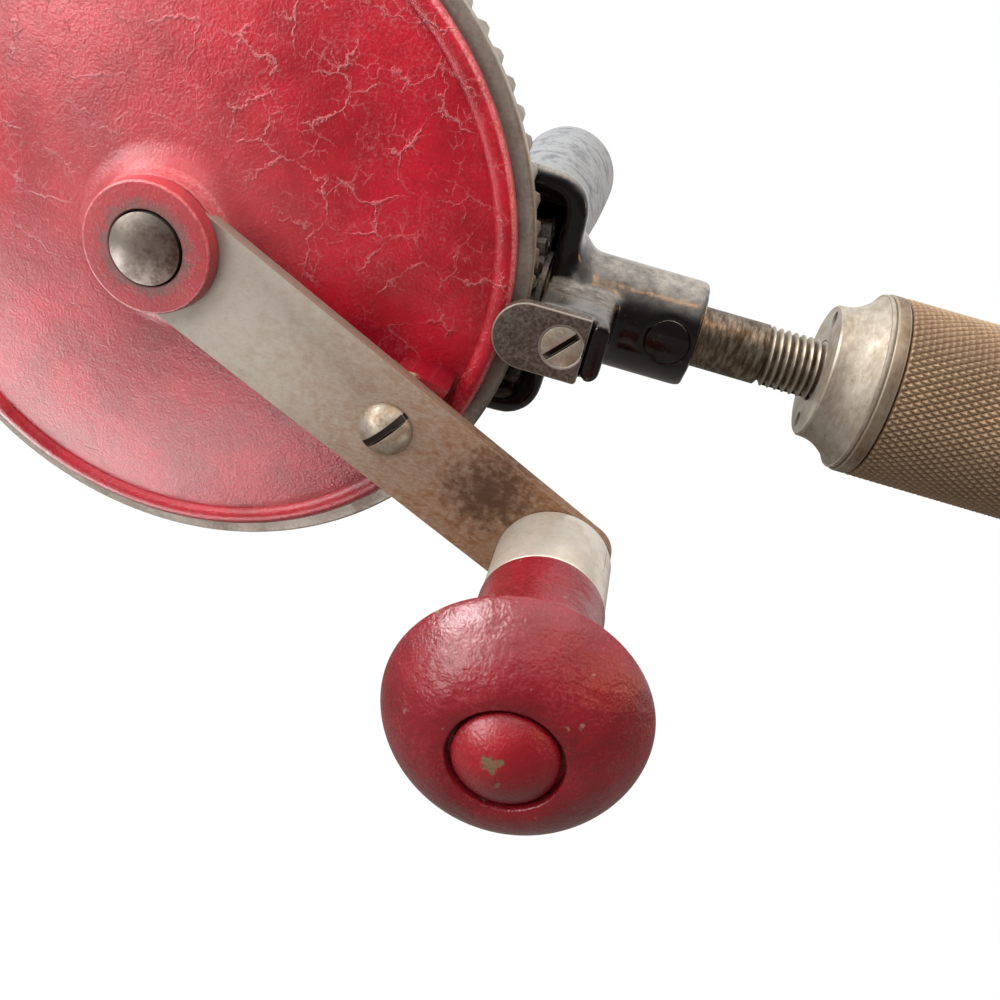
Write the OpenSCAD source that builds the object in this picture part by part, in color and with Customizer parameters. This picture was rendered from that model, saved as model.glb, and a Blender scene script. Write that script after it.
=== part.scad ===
// Hand-cranked breast drill: bevel drive, crank, thrust bearing, three-jaw chuck and breast plate.
// The origin is the middle of the breast plate's face, +X runs along the spindle to the chuck, +Z is up.
// The gear faces -Y, towards the user's cranking hand, and the side handle points along +Y.

/* [Bevel drive] */
// Teeth on the gear
gear_teeth = 78; // [72:1:84]
// Teeth on the pinion
pinion_teeth = 16; // [15:1:18]
// Tooth module at the large end
tooth_module = 1.7; // [1.6:0.05:1.8]
// Length of the teeth along the cone
tooth_face = 11; // [8:0.5:12]
// Play between the flanks
tooth_play = 0.3; // [0.2:0.05:0.5]

/* [Gear wheel] */
// Distance from the spindle axis to the front of the steel rim
rim_front = 25.3; // [24:0.1:28]
// Thickness of the rim from its front to the seat of the teeth
rim_depth = 9.4; // [8:0.1:9.6]
// Width of the bare steel ring at the front of the rim
rim_steel_w = 3.7; // [2:0.1:6]
// Radius of the sphere of the domed face
dome_r = 213; // [180:1:260]
// Thickness of the domed web
web_t = 6; // [4:0.5:8]
// Diameter of the hub
hub_d = 23.8; // [22:0.2:26]
// Distance from the spindle axis to the front of the hub
hub_front = 43.8; // [43.5:0.1:46]
// Distance from the spindle axis to the back of the hub
hub_back = 19.5; // [19:0.1:21]
// Diameter of the axle
axle_d = 13; // [12:0.1:14]
// Height of the domed end of the axle
axle_dome_h = 1.4; // [0.8:0.1:2]

/* [Crank] */
// Distance from the gear axis to the knob axis
crank_r = 94; // [88:1:104]
// Angle of the crank below the spindle at rest
crank_angle = 24.76; // [0:0.5:60]
// Width of the crank arm at the hub
arm_w = 22; // [20:0.5:22.5]
// Width of the crank arm at the knob
arm_tip_w = 20.8; // [19:0.1:22]
// Thickness of the crank arm
arm_t = 3.2; // [2.5:0.1:3.6]
// Metal of the hub flange in front of the arm
flange_t = 3.5; // [3:0.1:5]
// Distance from the gear axis to the arm's screw
arm_screw_r = 52.8; // [48:0.5:55]
// Diameter of the head of the arm's screw
arm_screw_head_d = 10.1; // [8:0.1:12]
// Height of the head of the arm's screw
arm_screw_head_h = 3.6; // [2.5:0.1:4.5]
// Diameter of the ferrule
ferrule_d = 22.6; // [21:0.2:24]
// Length of the ferrule
ferrule_l = 15.5; // [12:0.5:18]
// Largest diameter of the knob
knob_d = 42.6; // [38:0.1:48]
// Length of the knob from the arm to its end face
knob_l = 58.8; // [54:0.1:64]
// Diameter of the crank pin
pin_d = 9; // [8:0.1:10]
// Diameter of the button head of the crank pin
button_d = 16.2; // [14:0.2:17]
// Height of the button head
button_h = 4.6; // [4:0.1:6]

/* [Frame] */
// Distance from the breast plate's face to the gear axis
gear_x = 210; // [200:1:240]
// Distance from the gear axis to the back of the pinion housing
housing_back = 30; // [26:0.5:31]
// Thickness of the front crosspiece
front_wall = 4.7; // [4:0.1:7]
// Thickness of the back crosspiece
rear_wall = 11; // [10:0.5:12]
// Thickness of the housing's long sides and of its closed wall
side_wall = 4.2; // [3.5:0.1:5]
// Depth of the housing's flat rim
flange_depth = 5; // [4:0.5:7]
// Width of the flat rim outside the hollow back
flange_over = 2.9; // [2:0.1:5]
// Diameter of the nose
nose_d = 22.3; // [21:0.1:24]
// Length of the nose in front of the housing
nose_l = 28; // [25:0.5:34]
// Diameter of the boss round the axle
axle_boss_d = 27; // [24:0.5:30]
// Diameter of the socket for the breast rod
tail_d = 29; // [27:0.5:32]
// Length of the socket for the breast rod
tail_l = 42; // [36:1:50]

/* [Keeper] */
// Length of the keeper plate
keeper_l = 17.8; // [17.7:0.1:20]
// Height of the keeper plate
keeper_h = 13; // [11:0.5:15]
// Drop of the keeper's middle below the spindle axis
keeper_drop = 0.6; // [0:0.1:1.5]
// Thickness of the keeper plate
keeper_t = 2.8; // [2:0.1:3.5]
// Gap between the keeper plate and the rim
keeper_gap = 2; // [1:0.1:2.5]
// Distance from the gear's pitch circle to the keeper's screw
keeper_offset = 8.9; // [8.5:0.1:10.5]
// Distance from the keeper's screw to its tip over the rim
keeper_reach = 13.4; // [12.8:0.1:13.5]
// Diameter of the head of the keeper's screw
keeper_screw_head_d = 7.8; // [6:0.1:8.5]

/* [Spindle] */
// Diameter of the spindle
spindle_d = 12.7; // [12:0.1:13]
// Diameter of the spindle's rear journal
journal_d = 10; // [8:0.1:11]
// Pitch of the chuck thread
thread_pitch = 1.5875; // [1.4:0.05:2]
// Length of the thread that shows behind the chuck
thread_show_l = 11.5; // [9:0.5:14]
// Wall of the bushes
bush_wall = 2.2; // [1.6:0.1:3]
// Diameter of the balls of the thrust bearing
ball_d = 3.6; // [3:0.1:4]
// Number of balls of the thrust bearing
ball_count = 10; // [8:1:11]

/* [Chuck] */
// Length of the spindle between the nose and the chuck
spindle_show_l = 26; // [23:0.5:30]
// Diameter of the chuck's rear face
chuck_back_d = 28; // [27:0.5:31]
// Diameter of the chuck body and of the sleeve
chuck_d = 38; // [36:0.5:41]
// Length of the flared rear part of the chuck
flare_l = 7.5; // [6:0.5:10]
// Length of the ring in front of the flare
collar_l = 5; // [4:0.5:7]
// Length of the knurled sleeve
sleeve_l = 47; // [44:0.5:52]
// Length of the bare cone in front of the sleeve
cone_l = 16; // [14:0.5:18]
// Diameter of the front end of the chuck
chuck_front_d = 21; // [20:0.5:24]
// Diameter of the drill that the jaws hold at rest
grip_d = 6.35; // [6:0.05:6.7]
// Diameter of a jaw
jaw_d = 8; // [7.5:0.1:8.2]
// Length of a jaw
jaw_l = 27; // [24:0.5:28]
// Slant of the jaws
jaw_angle = 13; // [12:0.5:14]

/* [Breast plate] */
// Length of the breast plate
plate_l = 120; // [100:1:140]
// Width of the breast plate
plate_w = 62; // [50:1:76]
// Thickness of the breast plate
plate_t = 5; // [4:0.5:7]
// Radius of the hollow of the breast plate
plate_r = 112; // [95:1:140]
// Diameter of the breast rod
rod_d = 19; // [17:0.5:20]
// Length of the plate's socket
socket_l = 34; // [28:1:40]

/* [Side handle] */
// Distance from the gear axis to the side handle
handle_x = 58; // [54:0.5:60]
// Length of the handle
handle_l = 118; // [100:1:130]
// Largest diameter of the handle
handle_d = 30.4; // [27:0.1:33]
// Diameter of the handle at its foot
handle_foot_d = 21; // [19:0.5:23]
// Diameter of the handle's stud
stud_d = 8; // [7:0.1:9]

/* [Fits] */
// Radial gap of pressed and screwed fits
fit_gap = 0.02; // [0.01:0.01:0.05]
// Radial gap of running fits
run_gap = 0.05; // [0.03:0.01:0.1]
// Gap between faces that turn past each other
face_gap = 0.3; // [0.2:0.05:0.4]

/* [Hidden] */
$fn = 96;

enamel_red = "#a81f2a";
enamel_black = "#1a1615";
steel = "#9a938a";
bright_steel = "#c3bcaf";
brown_steel = "#7a6048";
bronze = "#a07a45";
handle_grey = "#9ea1a2";

// Bevel geometry: both pitch cones have their tip where the two axes cross
gear_pitch_r = tooth_module * gear_teeth / 2;
pinion_pitch_r = tooth_module * pinion_teeth / 2;
cone_l_total = sqrt(pow(gear_pitch_r, 2) + pow(pinion_pitch_r, 2));
pinion_cone = atan(pinion_pitch_r / gear_pitch_r);
small_end = 1 - tooth_face / cone_l_total;
pressure_angle = 20;
addendum = 0.8 * tooth_module;
dedendum = tooth_module;
half_tooth = (PI * tooth_module / 2 - tooth_play / 2) / 2;
tooth_sink = 1.2;
pinion_front_x = gear_pitch_r + 1.5;

// Gear wheel, heights above the spindle axis towards the user
rim_back = rim_front - rim_depth;
paint_r = gear_pitch_r - rim_steel_w;
groove_r = paint_r - 1.9;
rim_inner_r = gear_pitch_r * small_end - 2.5;
rim_edge = 0.7;
lip_h = 0.6;
dome_top = rim_front + lip_h + pow(groove_r, 2) / (2 * dome_r);
hub_fillet = 6;
arm_front = hub_front - flange_t;
arm_back = arm_front - arm_t;
arm_seat_r = axle_d / 2 + 1.6;
pad_l = 10;
pad_over = 2.6;
washer_t = 1;
collar_h = 9;
arm_screw_d = 5;
arm_screw_l = 8;

// Knob, heights above the front of the arm
knob_neck_d = ferrule_d - 3.2;
knob_widest = knob_l - 10.6;
knob_start = arm_front + face_gap;
button_gap = 0.6;
button_sink = 2.2;

// Frame
gear_clear = 1;
pinion_tip_r = pinion_pitch_r + addendum * cos(pinion_cone);
pinion_clear = 1.2;
pinion_end_gap = 0.5;
cavity_y = pinion_tip_r + pinion_clear;
housing_open = -(gear_tip_low() - gear_clear);
housing_y = cavity_y + side_wall;
bowl_clear = 4.1;
bowl_h = pinion_tip_r + bowl_clear + side_wall;
housing_h = bowl_h + flange_over;
cavity_x0 = housing_back + rear_wall;
cavity_x1 = pinion_front_x + pinion_end_gap;
housing_front = cavity_x1 + front_wall;
bowl_front = housing_front - 1.5;
housing_round = 8;
cavity_round = 3.5;
nose_end = housing_front + nose_l;
nose_root = 3;
boss_front = hub_back - washer_t - face_gap;
boss_back = 17;
ear_front = rim_front + keeper_gap;
keeper_screw_x = gear_pitch_r + keeper_offset;
keeper_x0 = keeper_screw_x - keeper_reach;
relief_r = gear_pitch_r + addendum + gear_clear;
ear_x0 = relief_r;
ear_x1 = keeper_x0 + keeper_l + fit_gap;
keeper_thread_d = 4.2;
keeper_thread_l = 11;
ear_lip = 3.8;
ear_lip_rise = 0.9;
ear_round = 1.8;
handle_boss_l = 10;
handle_boss_d = 23;
handle_y = housing_y + handle_boss_l;
handle_edge = 1;
handle_stud_l = 60;
stud_gap = 1.5;
rod_seat_l = tail_l - axle_boss_d / 2 - 2;
cross_pin_d = 4;

// Spindle line
chuck_back = nose_end + spindle_show_l;
journal_end = housing_back - 1;
race_t = 1.6;
race_x = cavity_x0;
ball_x = race_x + race_t + ball_d / 2 + fit_gap;
pinion_hub_x = ball_x + ball_d / 2 + fit_gap;
pinion_small_x = gear_pitch_r * small_end;
pinion_hub_d = 18.5;
pinion_pin_d = 3;
ball_track_d = (journal_d + run_gap * 2 + pinion_hub_d) / 2;
front_bush_x = cavity_x1;
thread_x = chuck_back - thread_show_l;
thread_in = 13;
thread_depth = 0.65 * thread_pitch;

// Chuck
collar_x = chuck_back + flare_l;
sleeve_x = collar_x + collar_l;
cone_x = sleeve_x + sleeve_l;
chuck_front = cone_x + cone_l;
core_d = chuck_d - 10;
sleeve_wall = 2.4;
jaw_side_gap = 1;
jaw_axis_front = grip_d / 2 + 0.35 * jaw_d / 2;
jaw_close = 3.6;
jaw_open = 5.5;
nut_l = 9;
nut_x = cone_x - nut_l - 1.5;
drill_bore_d = 10;

// Breast plate and rod
rod_start = plate_t + 3;
rod_end = gear_x - tail_l + rod_seat_l;

// Largest height of the gear's teeth, measured from the spindle axis
function gear_tip_low() = (pinion_pitch_r - addendum * cos(pinion_cone)) * small_end;

// Local frames: height towards the user on the gear axis, length along the spindle
module on_gear_axis() { rotate([90, 0, 0]) children(); }
module on_spindle() { rotate([0, 90, 0]) children(); }
module on_handle() { translate([handle_x, 0, 0]) rotate([-90, 0, 0]) children(); }
module at_knob() {
    on_gear_axis() rotate([0, 0, -crank_angle]) translate([crank_r, 0, 0]) children();
}
module placed() { translate([gear_x, 0, 0]) children(); }

// A tube or a rod between two heights
module rod(d, z0, z1) { translate([0, 0, z0]) cylinder(d = d, h = z1 - z0); }
module tube(d, bore, z0, z1) {
    difference() {
        rod(d, z0, z1);
        rod(bore, z0 - 1, z1 + 1);
    }
}
module cone_between(d0, d1, z0, z1) { translate([0, 0, z0]) cylinder(d1 = d0, d2 = d1, h = z1 - z0); }

// A plate with round corners in the X-Y plane
module round_plate(x0, x1, y0, y1, r, h) {
    translate([x0 + r, y0, 0]) cube([x1 - x0 - 2 * r, y1 - y0, h]);
    translate([x0, y0 + r, 0]) cube([x1 - x0, y1 - y0 - 2 * r, h]);
    for (x = [x0 + r, x1 - r], y = [y0 + r, y1 - r]) translate([x, y, 0]) cylinder(r = r, h = h);
}

// A slot across a screw head
module driver_slot(d, w, z0, depth) {
    translate([-d / 2 - 1, -w / 2, z0 - depth]) cube([d + 2, w, depth + 1]);
}

// Tooth flanks as [sideways, height] from the pitch line, from one root to the other
function gear_tooth() = [
    for (p = [[-1, -dedendum], [-1, addendum], [1, addendum], [1, -dedendum]])
        [p[0] * (half_tooth - p[1] * tan(pressure_angle)), p[1]]
];
function involute(a) = tan(a) * 180 / PI - a;
pinion_virtual_r = pinion_pitch_r / cos(pinion_cone);
pinion_base_r = pinion_virtual_r * cos(pressure_angle);
function flank_angle(r) =
    half_tooth / pinion_virtual_r * 180 / PI + involute(pressure_angle)
    - involute(acos(min(1, pinion_base_r / r)));
flank_steps = [0, 0.35, 0.6, 0.8, 1];
pinion_flank = [
    for (s = flank_steps)
        let (r = pinion_virtual_r - dedendum + s * (dedendum + addendum), a = flank_angle(r))
            [r * sin(a), r * cos(a) - pinion_virtual_r]
];
last_step = len(flank_steps) - 1;
function pinion_tooth() = concat(
    [for (p = pinion_flank) [-p[0], p[1]]],
    [for (i = [last_step:-1:0]) pinion_flank[i]]
);

// A ring of bevel teeth round Z as one mesh. Each tooth point shrinks towards the cone's tip at the origin.
module bevel_teeth(count, profile, pitch_r, pitch_z, tip_dir, base, turn) {
    n = len(profile);
    m = count * n;
    function spin(p, a) = [p[0] * cos(a) - p[1] * sin(a), p[0] * sin(a) + p[1] * cos(a), p[2]];
    function tooth_point(k) = let (p = profile[k % n])
        spin([pitch_r + p[1] * tip_dir[0], p[0], pitch_z + p[1] * tip_dir[1]],
             turn + floor(k / n) * 360 / count);
    top = [for (k = [0:m - 1]) tooth_point(k)];
    points = concat(top, top * small_end, [for (p = top) base(p)], [for (p = top) base(p * small_end)]);
    faces = [
        for (k = [0:m - 1])
            let (j = (k + 1) % m)
                for (q = [[0, 1], [1, 3], [3, 2], [2, 0]])
                    for (t = [[q[0] * m + k, q[0] * m + j, q[1] * m + k],
                              [q[0] * m + j, q[1] * m + j, q[1] * m + k]]) t
    ];
    polyhedron(points, faces);
}

// Frame casting
module frame() {
    color(enamel_black) difference() {
        union() {
            frame_housing();
            frame_nose();
            frame_tail();
            frame_ear();
        }
        frame_cuts();
    }
}
module frame_housing() {
    translate([0, housing_open + flange_depth, 0]) rotate([90, 0, 0])
        round_plate(housing_back, housing_front, -housing_h, housing_h, housing_round, flange_depth);
    along_spindle(housing_back, bowl_front) polygon(housing_outline(bowl_h, housing_y));
    on_handle() rod(handle_boss_d, cavity_y, housing_y + handle_boss_l);
}
// Cross-section of the housing behind its flat rim: it narrows round the pinion
function housing_outline(half_h, back) = let (
    front = housing_open + flange_depth / 2,
    shoulder = housing_open + flange_depth,
    waist = [back * 0.41, half_h * 0.8],
    corner = [back, half_h * 0.38]
) [
    [front, half_h], [shoulder, half_h], waist, corner,
    [corner[0], -corner[1]], [waist[0], -waist[1]], [shoulder, -half_h], [front, -half_h]
];
// A solid with a cross-section in Y and Z, between two places along the spindle
module along_spindle(x0, x1) {
    translate([x0, 0, 0]) rotate([90, 0, 90]) linear_extrude(x1 - x0) children();
}
module frame_nose() {
    on_spindle() rod(nose_d, housing_front - front_wall / 2, nose_end);
    on_spindle() cone_between(nose_d + 2 * nose_root, nose_d, housing_front, housing_front + nose_root);
}
module frame_tail() {
    on_gear_axis() rod(axle_boss_d, -boss_back, boss_front);
    on_spindle() rod(tail_d, -tail_l, 0);
    on_spindle() rod(tail_d, 0, housing_back + rear_wall / 2);
}
module frame_ear() {
    root = -housing_open - side_wall;
    at_keeper() {
        translate([ear_x0, -keeper_h / 2, root]) cube([ear_x1 - ear_x0, keeper_h, ear_front - root]);
        translate([0, 0, root])
            round_plate(ear_x1, ear_x1 + ear_lip, -keeper_h / 2 + ear_lip_rise, keeper_h / 2, ear_round,
                        ear_front + keeper_t - root);
    }
}
module at_keeper() { translate([0, 0, -keeper_drop]) on_gear_axis() children(); }
module frame_cuts() {
    translate([0, housing_open + flange_depth - 1, 0]) rotate([90, 0, 0])
        round_plate(cavity_x0, cavity_x1, -housing_h + side_wall, housing_h - side_wall, cavity_round, flange_depth);
    along_spindle(cavity_x0, cavity_x1) polygon(housing_outline(bowl_h - side_wall, cavity_y));
    on_spindle() rod(front_bush_d(), cavity_x1 - 1, nose_end + 1);
    on_spindle() rod(rear_bush_d(), housing_back - 4, cavity_x0 + 1);
    on_gear_axis() rod(axle_d + 2 * run_gap, -boss_back - 1, boss_front + 1);
    on_spindle() rod(rod_d + 2 * fit_gap, -tail_l - 1, -tail_l + rod_seat_l);
    tail_pin_hole();
    keeper_screw_hole();
    plug_hole();
    on_handle() rod(stud_d + 2 * fit_gap, cavity_y + 1, housing_y + handle_boss_l + 1);
    gear_relief();
}
// Room for the gear's hub and web where the tail passes behind it
module gear_relief() {
    on_gear_axis() difference() {
        rod(2 * relief_r, -housing_open, ear_front + 1);
        rod(axle_boss_d, -housing_open - 1, ear_front + 2);
    }
}
function front_bush_d() = spindle_d + 2 * run_gap + 2 * bush_wall;
function rear_bush_d() = journal_d + 2 * run_gap + 2 * bush_wall;
module tail_pin_hole() {
    translate([-tail_l + rod_seat_l / 2, 0, 0]) rod(cross_pin_d + 2 * fit_gap, -tail_d, tail_d);
}
module keeper_screw_hole() {
    at_keeper() translate([keeper_screw_x, 0, 0])
        rod(keeper_thread_d + 2 * fit_gap, ear_front - keeper_thread_l, ear_front + 1);
}
plug_d = 8;
plug_x = nose_end - 6;
module plug_hole() {
    translate([plug_x, 0, 0]) on_gear_axis() rod(plug_d + 2 * fit_gap, 0, nose_d);
}

// Keeper plate over the gear rim, with its countersunk screw
module gear_keeper() {
    tip_x = keeper_x0 + keeper_h / 2;
    color(brown_steel) at_keeper() difference() {
        translate([0, 0, ear_front]) {
            translate([tip_x, 0, 0]) cylinder(d = keeper_h, h = keeper_t);
            translate([tip_x, -keeper_h / 2, 0]) cube([keeper_x0 + keeper_l - tip_x, keeper_h, keeper_t]);
        }
        translate([keeper_screw_x, 0, 0]) keeper_screw_body(fit_gap);
    }
}
module keeper_screw_body(gap) {
    top = ear_front + keeper_t;
    cone_h = (keeper_screw_head_d - keeper_thread_d) / 2;
    rim_h = 0.6;
    rod(keeper_screw_head_d + 2 * gap, top - rim_h, top + gap);
    cone_between(keeper_thread_d + 2 * gap, keeper_screw_head_d + 2 * gap, top - rim_h - cone_h, top - rim_h);
    rod(keeper_thread_d + 2 * gap, ear_front - keeper_thread_l + 0.5, top - rim_h - cone_h);
}
module keeper_screw() {
    color(steel) at_keeper() translate([keeper_screw_x, 0, 0]) difference() {
        keeper_screw_body(0);
        rotate([0, 0, 48]) driver_slot(keeper_screw_head_d, 1.3, ear_front + keeper_t, 1.1);
    }
}

// Bushes of the spindle
module front_bush() {
    color(bronze) on_spindle()
        tube(front_bush_d() - 2 * fit_gap, spindle_d + 2 * run_gap, front_bush_x, nose_end);
}
module rear_bush() {
    color(bronze) on_spindle()
        tube(rear_bush_d() - 2 * fit_gap, journal_d + 2 * run_gap, housing_back, cavity_x0);
}
module nose_plug() {
    color(enamel_black) intersection() {
        translate([plug_x, 0, 0]) on_gear_axis() rod(plug_d, front_bush_d() / 2 + 0.1, nose_d);
        on_spindle() rod(nose_d, plug_x - plug_d, plug_x + plug_d);
    }
}

// Side handle on its stud, opposite the gear
module side_handle() {
    color(handle_grey) on_handle() difference() {
        rotate_extrude() polygon(handle_outline());
        rod(stud_d + 2 * fit_gap, handle_y - 1, handle_y + handle_stud_l);
    }
}
// Half section of the handle: a swelling from the foot and a round end
handle_steps = 16;
function handle_outline() = let (
    foot_r = handle_foot_d / 2,
    end_r = handle_d / 2,
    bulb_y = handle_y + handle_l - end_r,
    swell_y = handle_y + handle_edge
) concat(
    [[0, handle_y], [foot_r - handle_edge, handle_y], [foot_r, swell_y]],
    [for (i = [1:handle_steps])
        let (s = i / handle_steps, swell = pow(sin(90 * s), 0.6))
            [foot_r + (end_r - foot_r) * swell, swell_y + s * (bulb_y - swell_y)]],
    [for (i = [1:handle_steps])
        let (a = 90 * i / handle_steps) [end_r * cos(a), bulb_y + end_r * sin(a)]]
);
module handle_stud() {
    color(steel) on_handle() rod(stud_d, cavity_y + stud_gap, handle_y + handle_stud_l - stud_gap);
}

// Breast rod, breast plate and their fasteners
module breast_rod() {
    color(steel) difference() {
        on_spindle() rod(rod_d, rod_start - gear_x, rod_end - gear_x);
        tail_pin_hole();
        plate_screw_hole();
    }
}
module rod_pin() {
    color(steel) translate([-tail_l + rod_seat_l / 2, 0, 0]) rod(cross_pin_d, -tail_d / 2 - 0.4, tail_d / 2 + 0.4);
}
socket_d = rod_d + 11;
plate_screw_d = 6;
module plate_screw_hole() {
    translate([plate_t + socket_l / 2 + 4 - gear_x, 0, 0])
        rod(plate_screw_d + 2 * fit_gap, rod_d / 2 - 1.5, socket_d);
}
module breast_plate() {
    color(enamel_black) translate([-gear_x, 0, 0]) difference() {
        union() {
            plate_saddle();
            on_spindle() rod(socket_d, plate_t / 2, plate_t + socket_l);
            on_spindle() cone_between(socket_d + 14, socket_d, plate_t / 2, plate_t + 7);
        }
        on_spindle() rod(rod_d + 2 * fit_gap, rod_start, plate_t + socket_l + 1);
        translate([gear_x, 0, 0]) plate_screw_hole();
    }
}
module plate_saddle() {
    reach = plate_r;
    intersection() {
        translate([-plate_r, 0, 0]) rotate([90, 0, 0])
            tube(2 * (plate_r + plate_t), 2 * plate_r, -plate_w, plate_w);
        translate([plate_t - reach, 0, 0]) rotate([90, 0, 90])
            round_plate(-plate_w / 2, plate_w / 2, -plate_l / 2, plate_l / 2, plate_w * 0.45, reach);
    }
}
module plate_screw() {
    top = socket_d / 2 + 7;
    color(steel) translate([plate_t + socket_l / 2 + 4 - gear_x, 0, 0]) difference() {
        union() {
            rod(plate_screw_d, rod_d / 2 - 1.2, socket_d / 2 + 1);
            rod(plate_screw_d + 4, socket_d / 2 + 1, top);
        }
        driver_slot(plate_screw_d + 4, 1.6, top, 2.2);
    }
}

// Gear wheel with its hub, arm pad and teeth
module drive_gear() {
    color(enamel_red) on_gear_axis() difference() {
        union() {
            gear_blank();
            gear_pad();
            bevel_teeth(gear_teeth, gear_tooth(), gear_pitch_r, pinion_pitch_r,
                        [sin(pinion_cone), -cos(pinion_cone)],
                        function (p) [p[0], p[1], rim_back + tooth_sink], 0);
        }
        rod(axle_d + 2 * fit_gap, hub_back - 1, hub_front + 1);
        rotate([0, 0, -crank_angle]) arm_seat();
        rotate([0, 0, -crank_angle]) translate([arm_screw_r, 0, 0])
            rod(arm_screw_d + 2 * fit_gap, arm_back - arm_screw_l - 0.5, arm_back + 1);
    }
}
module gear_blank() {
    rotate_extrude() polygon(gear_outline());
}
// Half section of the wheel: hub, fillet, dome, groove, painted lip, steel rim and the hollow back
dome_steps = 24;
fillet_steps = 8;
function dome_z(r, drop) = dome_top - drop - dome_r + sqrt(pow(dome_r, 2) - pow(r, 2));
function gear_outline() = let (
    hub_r = hub_d / 2,
    neck_r = hub_r - 0.7,
    fillet_r = neck_r + hub_fillet,
    fillet_z = dome_z(fillet_r, 0),
    dome_end = groove_r - 1
) concat(
    [[0, hub_back], [0, hub_front], [hub_r - 0.8, hub_front], [hub_r, hub_front - 0.8]],
    [[hub_r, arm_back + arm_t * 0.6], [neck_r, arm_back + arm_t * 0.3]],
    [for (i = [0:fillet_steps])
        let (a = 90 * i / fillet_steps)
            [fillet_r - hub_fillet * cos(a), fillet_z + hub_fillet * 0.62 * (1 - sin(a))]],
    [for (i = [1:dome_steps])
        let (r = fillet_r + (dome_end - fillet_r) * i / dome_steps) [r, dome_z(r, 0)]],
    [[groove_r, rim_front - 0.2], [groove_r + 0.8, rim_front + lip_h], [paint_r - 0.3, rim_front + lip_h]],
    [[paint_r, rim_front], [gear_pitch_r - rim_edge, rim_front], [gear_pitch_r, rim_front - rim_edge]],
    [[gear_pitch_r, rim_back], [rim_inner_r, rim_back]],
    [for (i = [0:dome_steps])
        let (r = rim_inner_r - (rim_inner_r - hub_r) * i / dome_steps) [r, dome_z(r, web_t)]],
    [[hub_r, hub_back]]
);
module gear_pad() {
    round_end = arm_w / 2 + pad_over - pad_l / 2;
    square_end = -arm_w / 2 + 1;
    rotate([0, 0, -crank_angle]) translate([arm_screw_r, 0, rim_front]) {
        translate([0, round_end, 0]) cylinder(d = pad_l, h = arm_back - rim_front);
        translate([-pad_l / 2, square_end, 0]) cube([pad_l, round_end - square_end, arm_back - rim_front]);
    }
}
module arm_seat() {
    translate([arm_seat_r, -arm_w / 2 - fit_gap, arm_back]) cube([hub_d, arm_w + 2 * fit_gap, arm_t + fit_gap]);
}
module gear_washer() {
    color(steel) on_gear_axis() tube(axle_boss_d - 2, axle_d + 2 * run_gap, boss_front, boss_front + washer_t);
}
module gear_axle() {
    cap_r = (pow(axle_d / 2, 2) + pow(axle_dome_h, 2)) / (2 * axle_dome_h);
    color(steel) on_gear_axis() difference() {
        intersection() {
            rod(axle_d, axle_end(), hub_front + axle_dome_h);
            union() {
                translate([0, 0, hub_front + axle_dome_h - cap_r - 0.2]) sphere(r = cap_r);
                rod(axle_d + 2, axle_end() - 1, hub_front - 0.2);
            }
        }
        collar_pin_hole();
    }
}
function axle_end() = -boss_back - collar_h - 1.5;
module collar_pin_hole() {
    translate([0, 0, -boss_back - face_gap - collar_h / 2]) rotate([90, 0, 0])
        rod(cross_pin_d + 2 * fit_gap, -axle_boss_d, axle_boss_d);
}
module axle_collar() {
    color(steel) on_gear_axis() difference() {
        tube(axle_boss_d - 4, axle_d + 2 * fit_gap, -boss_back - face_gap - collar_h, -boss_back - face_gap);
        collar_pin_hole();
    }
}
module collar_pin() {
    half = axle_boss_d / 2 - 2.5;
    color(steel) on_gear_axis() translate([0, 0, -boss_back - face_gap - collar_h / 2]) rotate([90, 0, 0])
        rod(cross_pin_d, -half, half);
}

// Crank arm, its screw and the crank pin
arm_end_over = 9;
module crank_arm() {
    color(steel) on_gear_axis() rotate([0, 0, -crank_angle]) difference() {
        translate([0, 0, arm_back]) linear_extrude(arm_t) arm_outline();
        translate([arm_screw_r, 0, 0]) rod(arm_screw_d + 2 * fit_gap, arm_back - 1, arm_front + 1);
        translate([crank_r, 0, 0]) rod(pin_d + 2 * fit_gap, arm_back - 1, arm_front + 1);
    }
}
// Outline of the arm: a slight taper from the hub to a rounded end under the knob
module arm_outline() {
    corner_r = 6;
    end_x = crank_r + arm_end_over - corner_r;
    half = arm_tip_w / 2;
    polygon([[arm_seat_r, -arm_w / 2], [end_x, -half], [end_x, half], [arm_seat_r, arm_w / 2]]);
    translate([end_x - 1, -half + corner_r]) square([corner_r + 1, 2 * (half - corner_r)]);
    for (s = [-1, 1]) translate([end_x, s * (half - corner_r)]) circle(r = corner_r);
}
module crank_screw() {
    cap_r = (pow(arm_screw_head_d / 2, 2) + pow(arm_screw_head_h, 2)) / (2 * arm_screw_head_h);
    color(steel) on_gear_axis() rotate([0, 0, -crank_angle]) translate([arm_screw_r, 0, 0]) difference() {
        union() {
            rod(arm_screw_d, arm_back - arm_screw_l, arm_front + 0.5);
            intersection() {
                translate([0, 0, arm_front + arm_screw_head_h - cap_r]) sphere(r = cap_r);
                rod(arm_screw_head_d + 2, arm_front, arm_front + arm_screw_head_h + 1);
            }
        }
        rotate([0, 0, crank_angle + 38]) driver_slot(arm_screw_head_d, 1.7, arm_front + arm_screw_head_h, 2);
    }
}
module crank_pin() {
    top = knob_start + knob_l + button_h - button_sink;
    flat = 1.6;
    dome_h = button_h - flat;
    cap_r = (pow(button_d / 2, 2) + pow(dome_h, 2)) / (2 * dome_h);
    color(enamel_red) at_knob() {
        rod(pin_d, arm_back - 1.2, top - button_h + 0.5);
        rod(pin_d + 4, arm_back - 1.2, arm_back);
        rod(button_d, top - button_h, top - dome_h);
        intersection() {
            translate([0, 0, top - cap_r]) sphere(r = cap_r);
            rod(button_d, top - dome_h - 0.01, top + 1);
        }
    }
}

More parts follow.
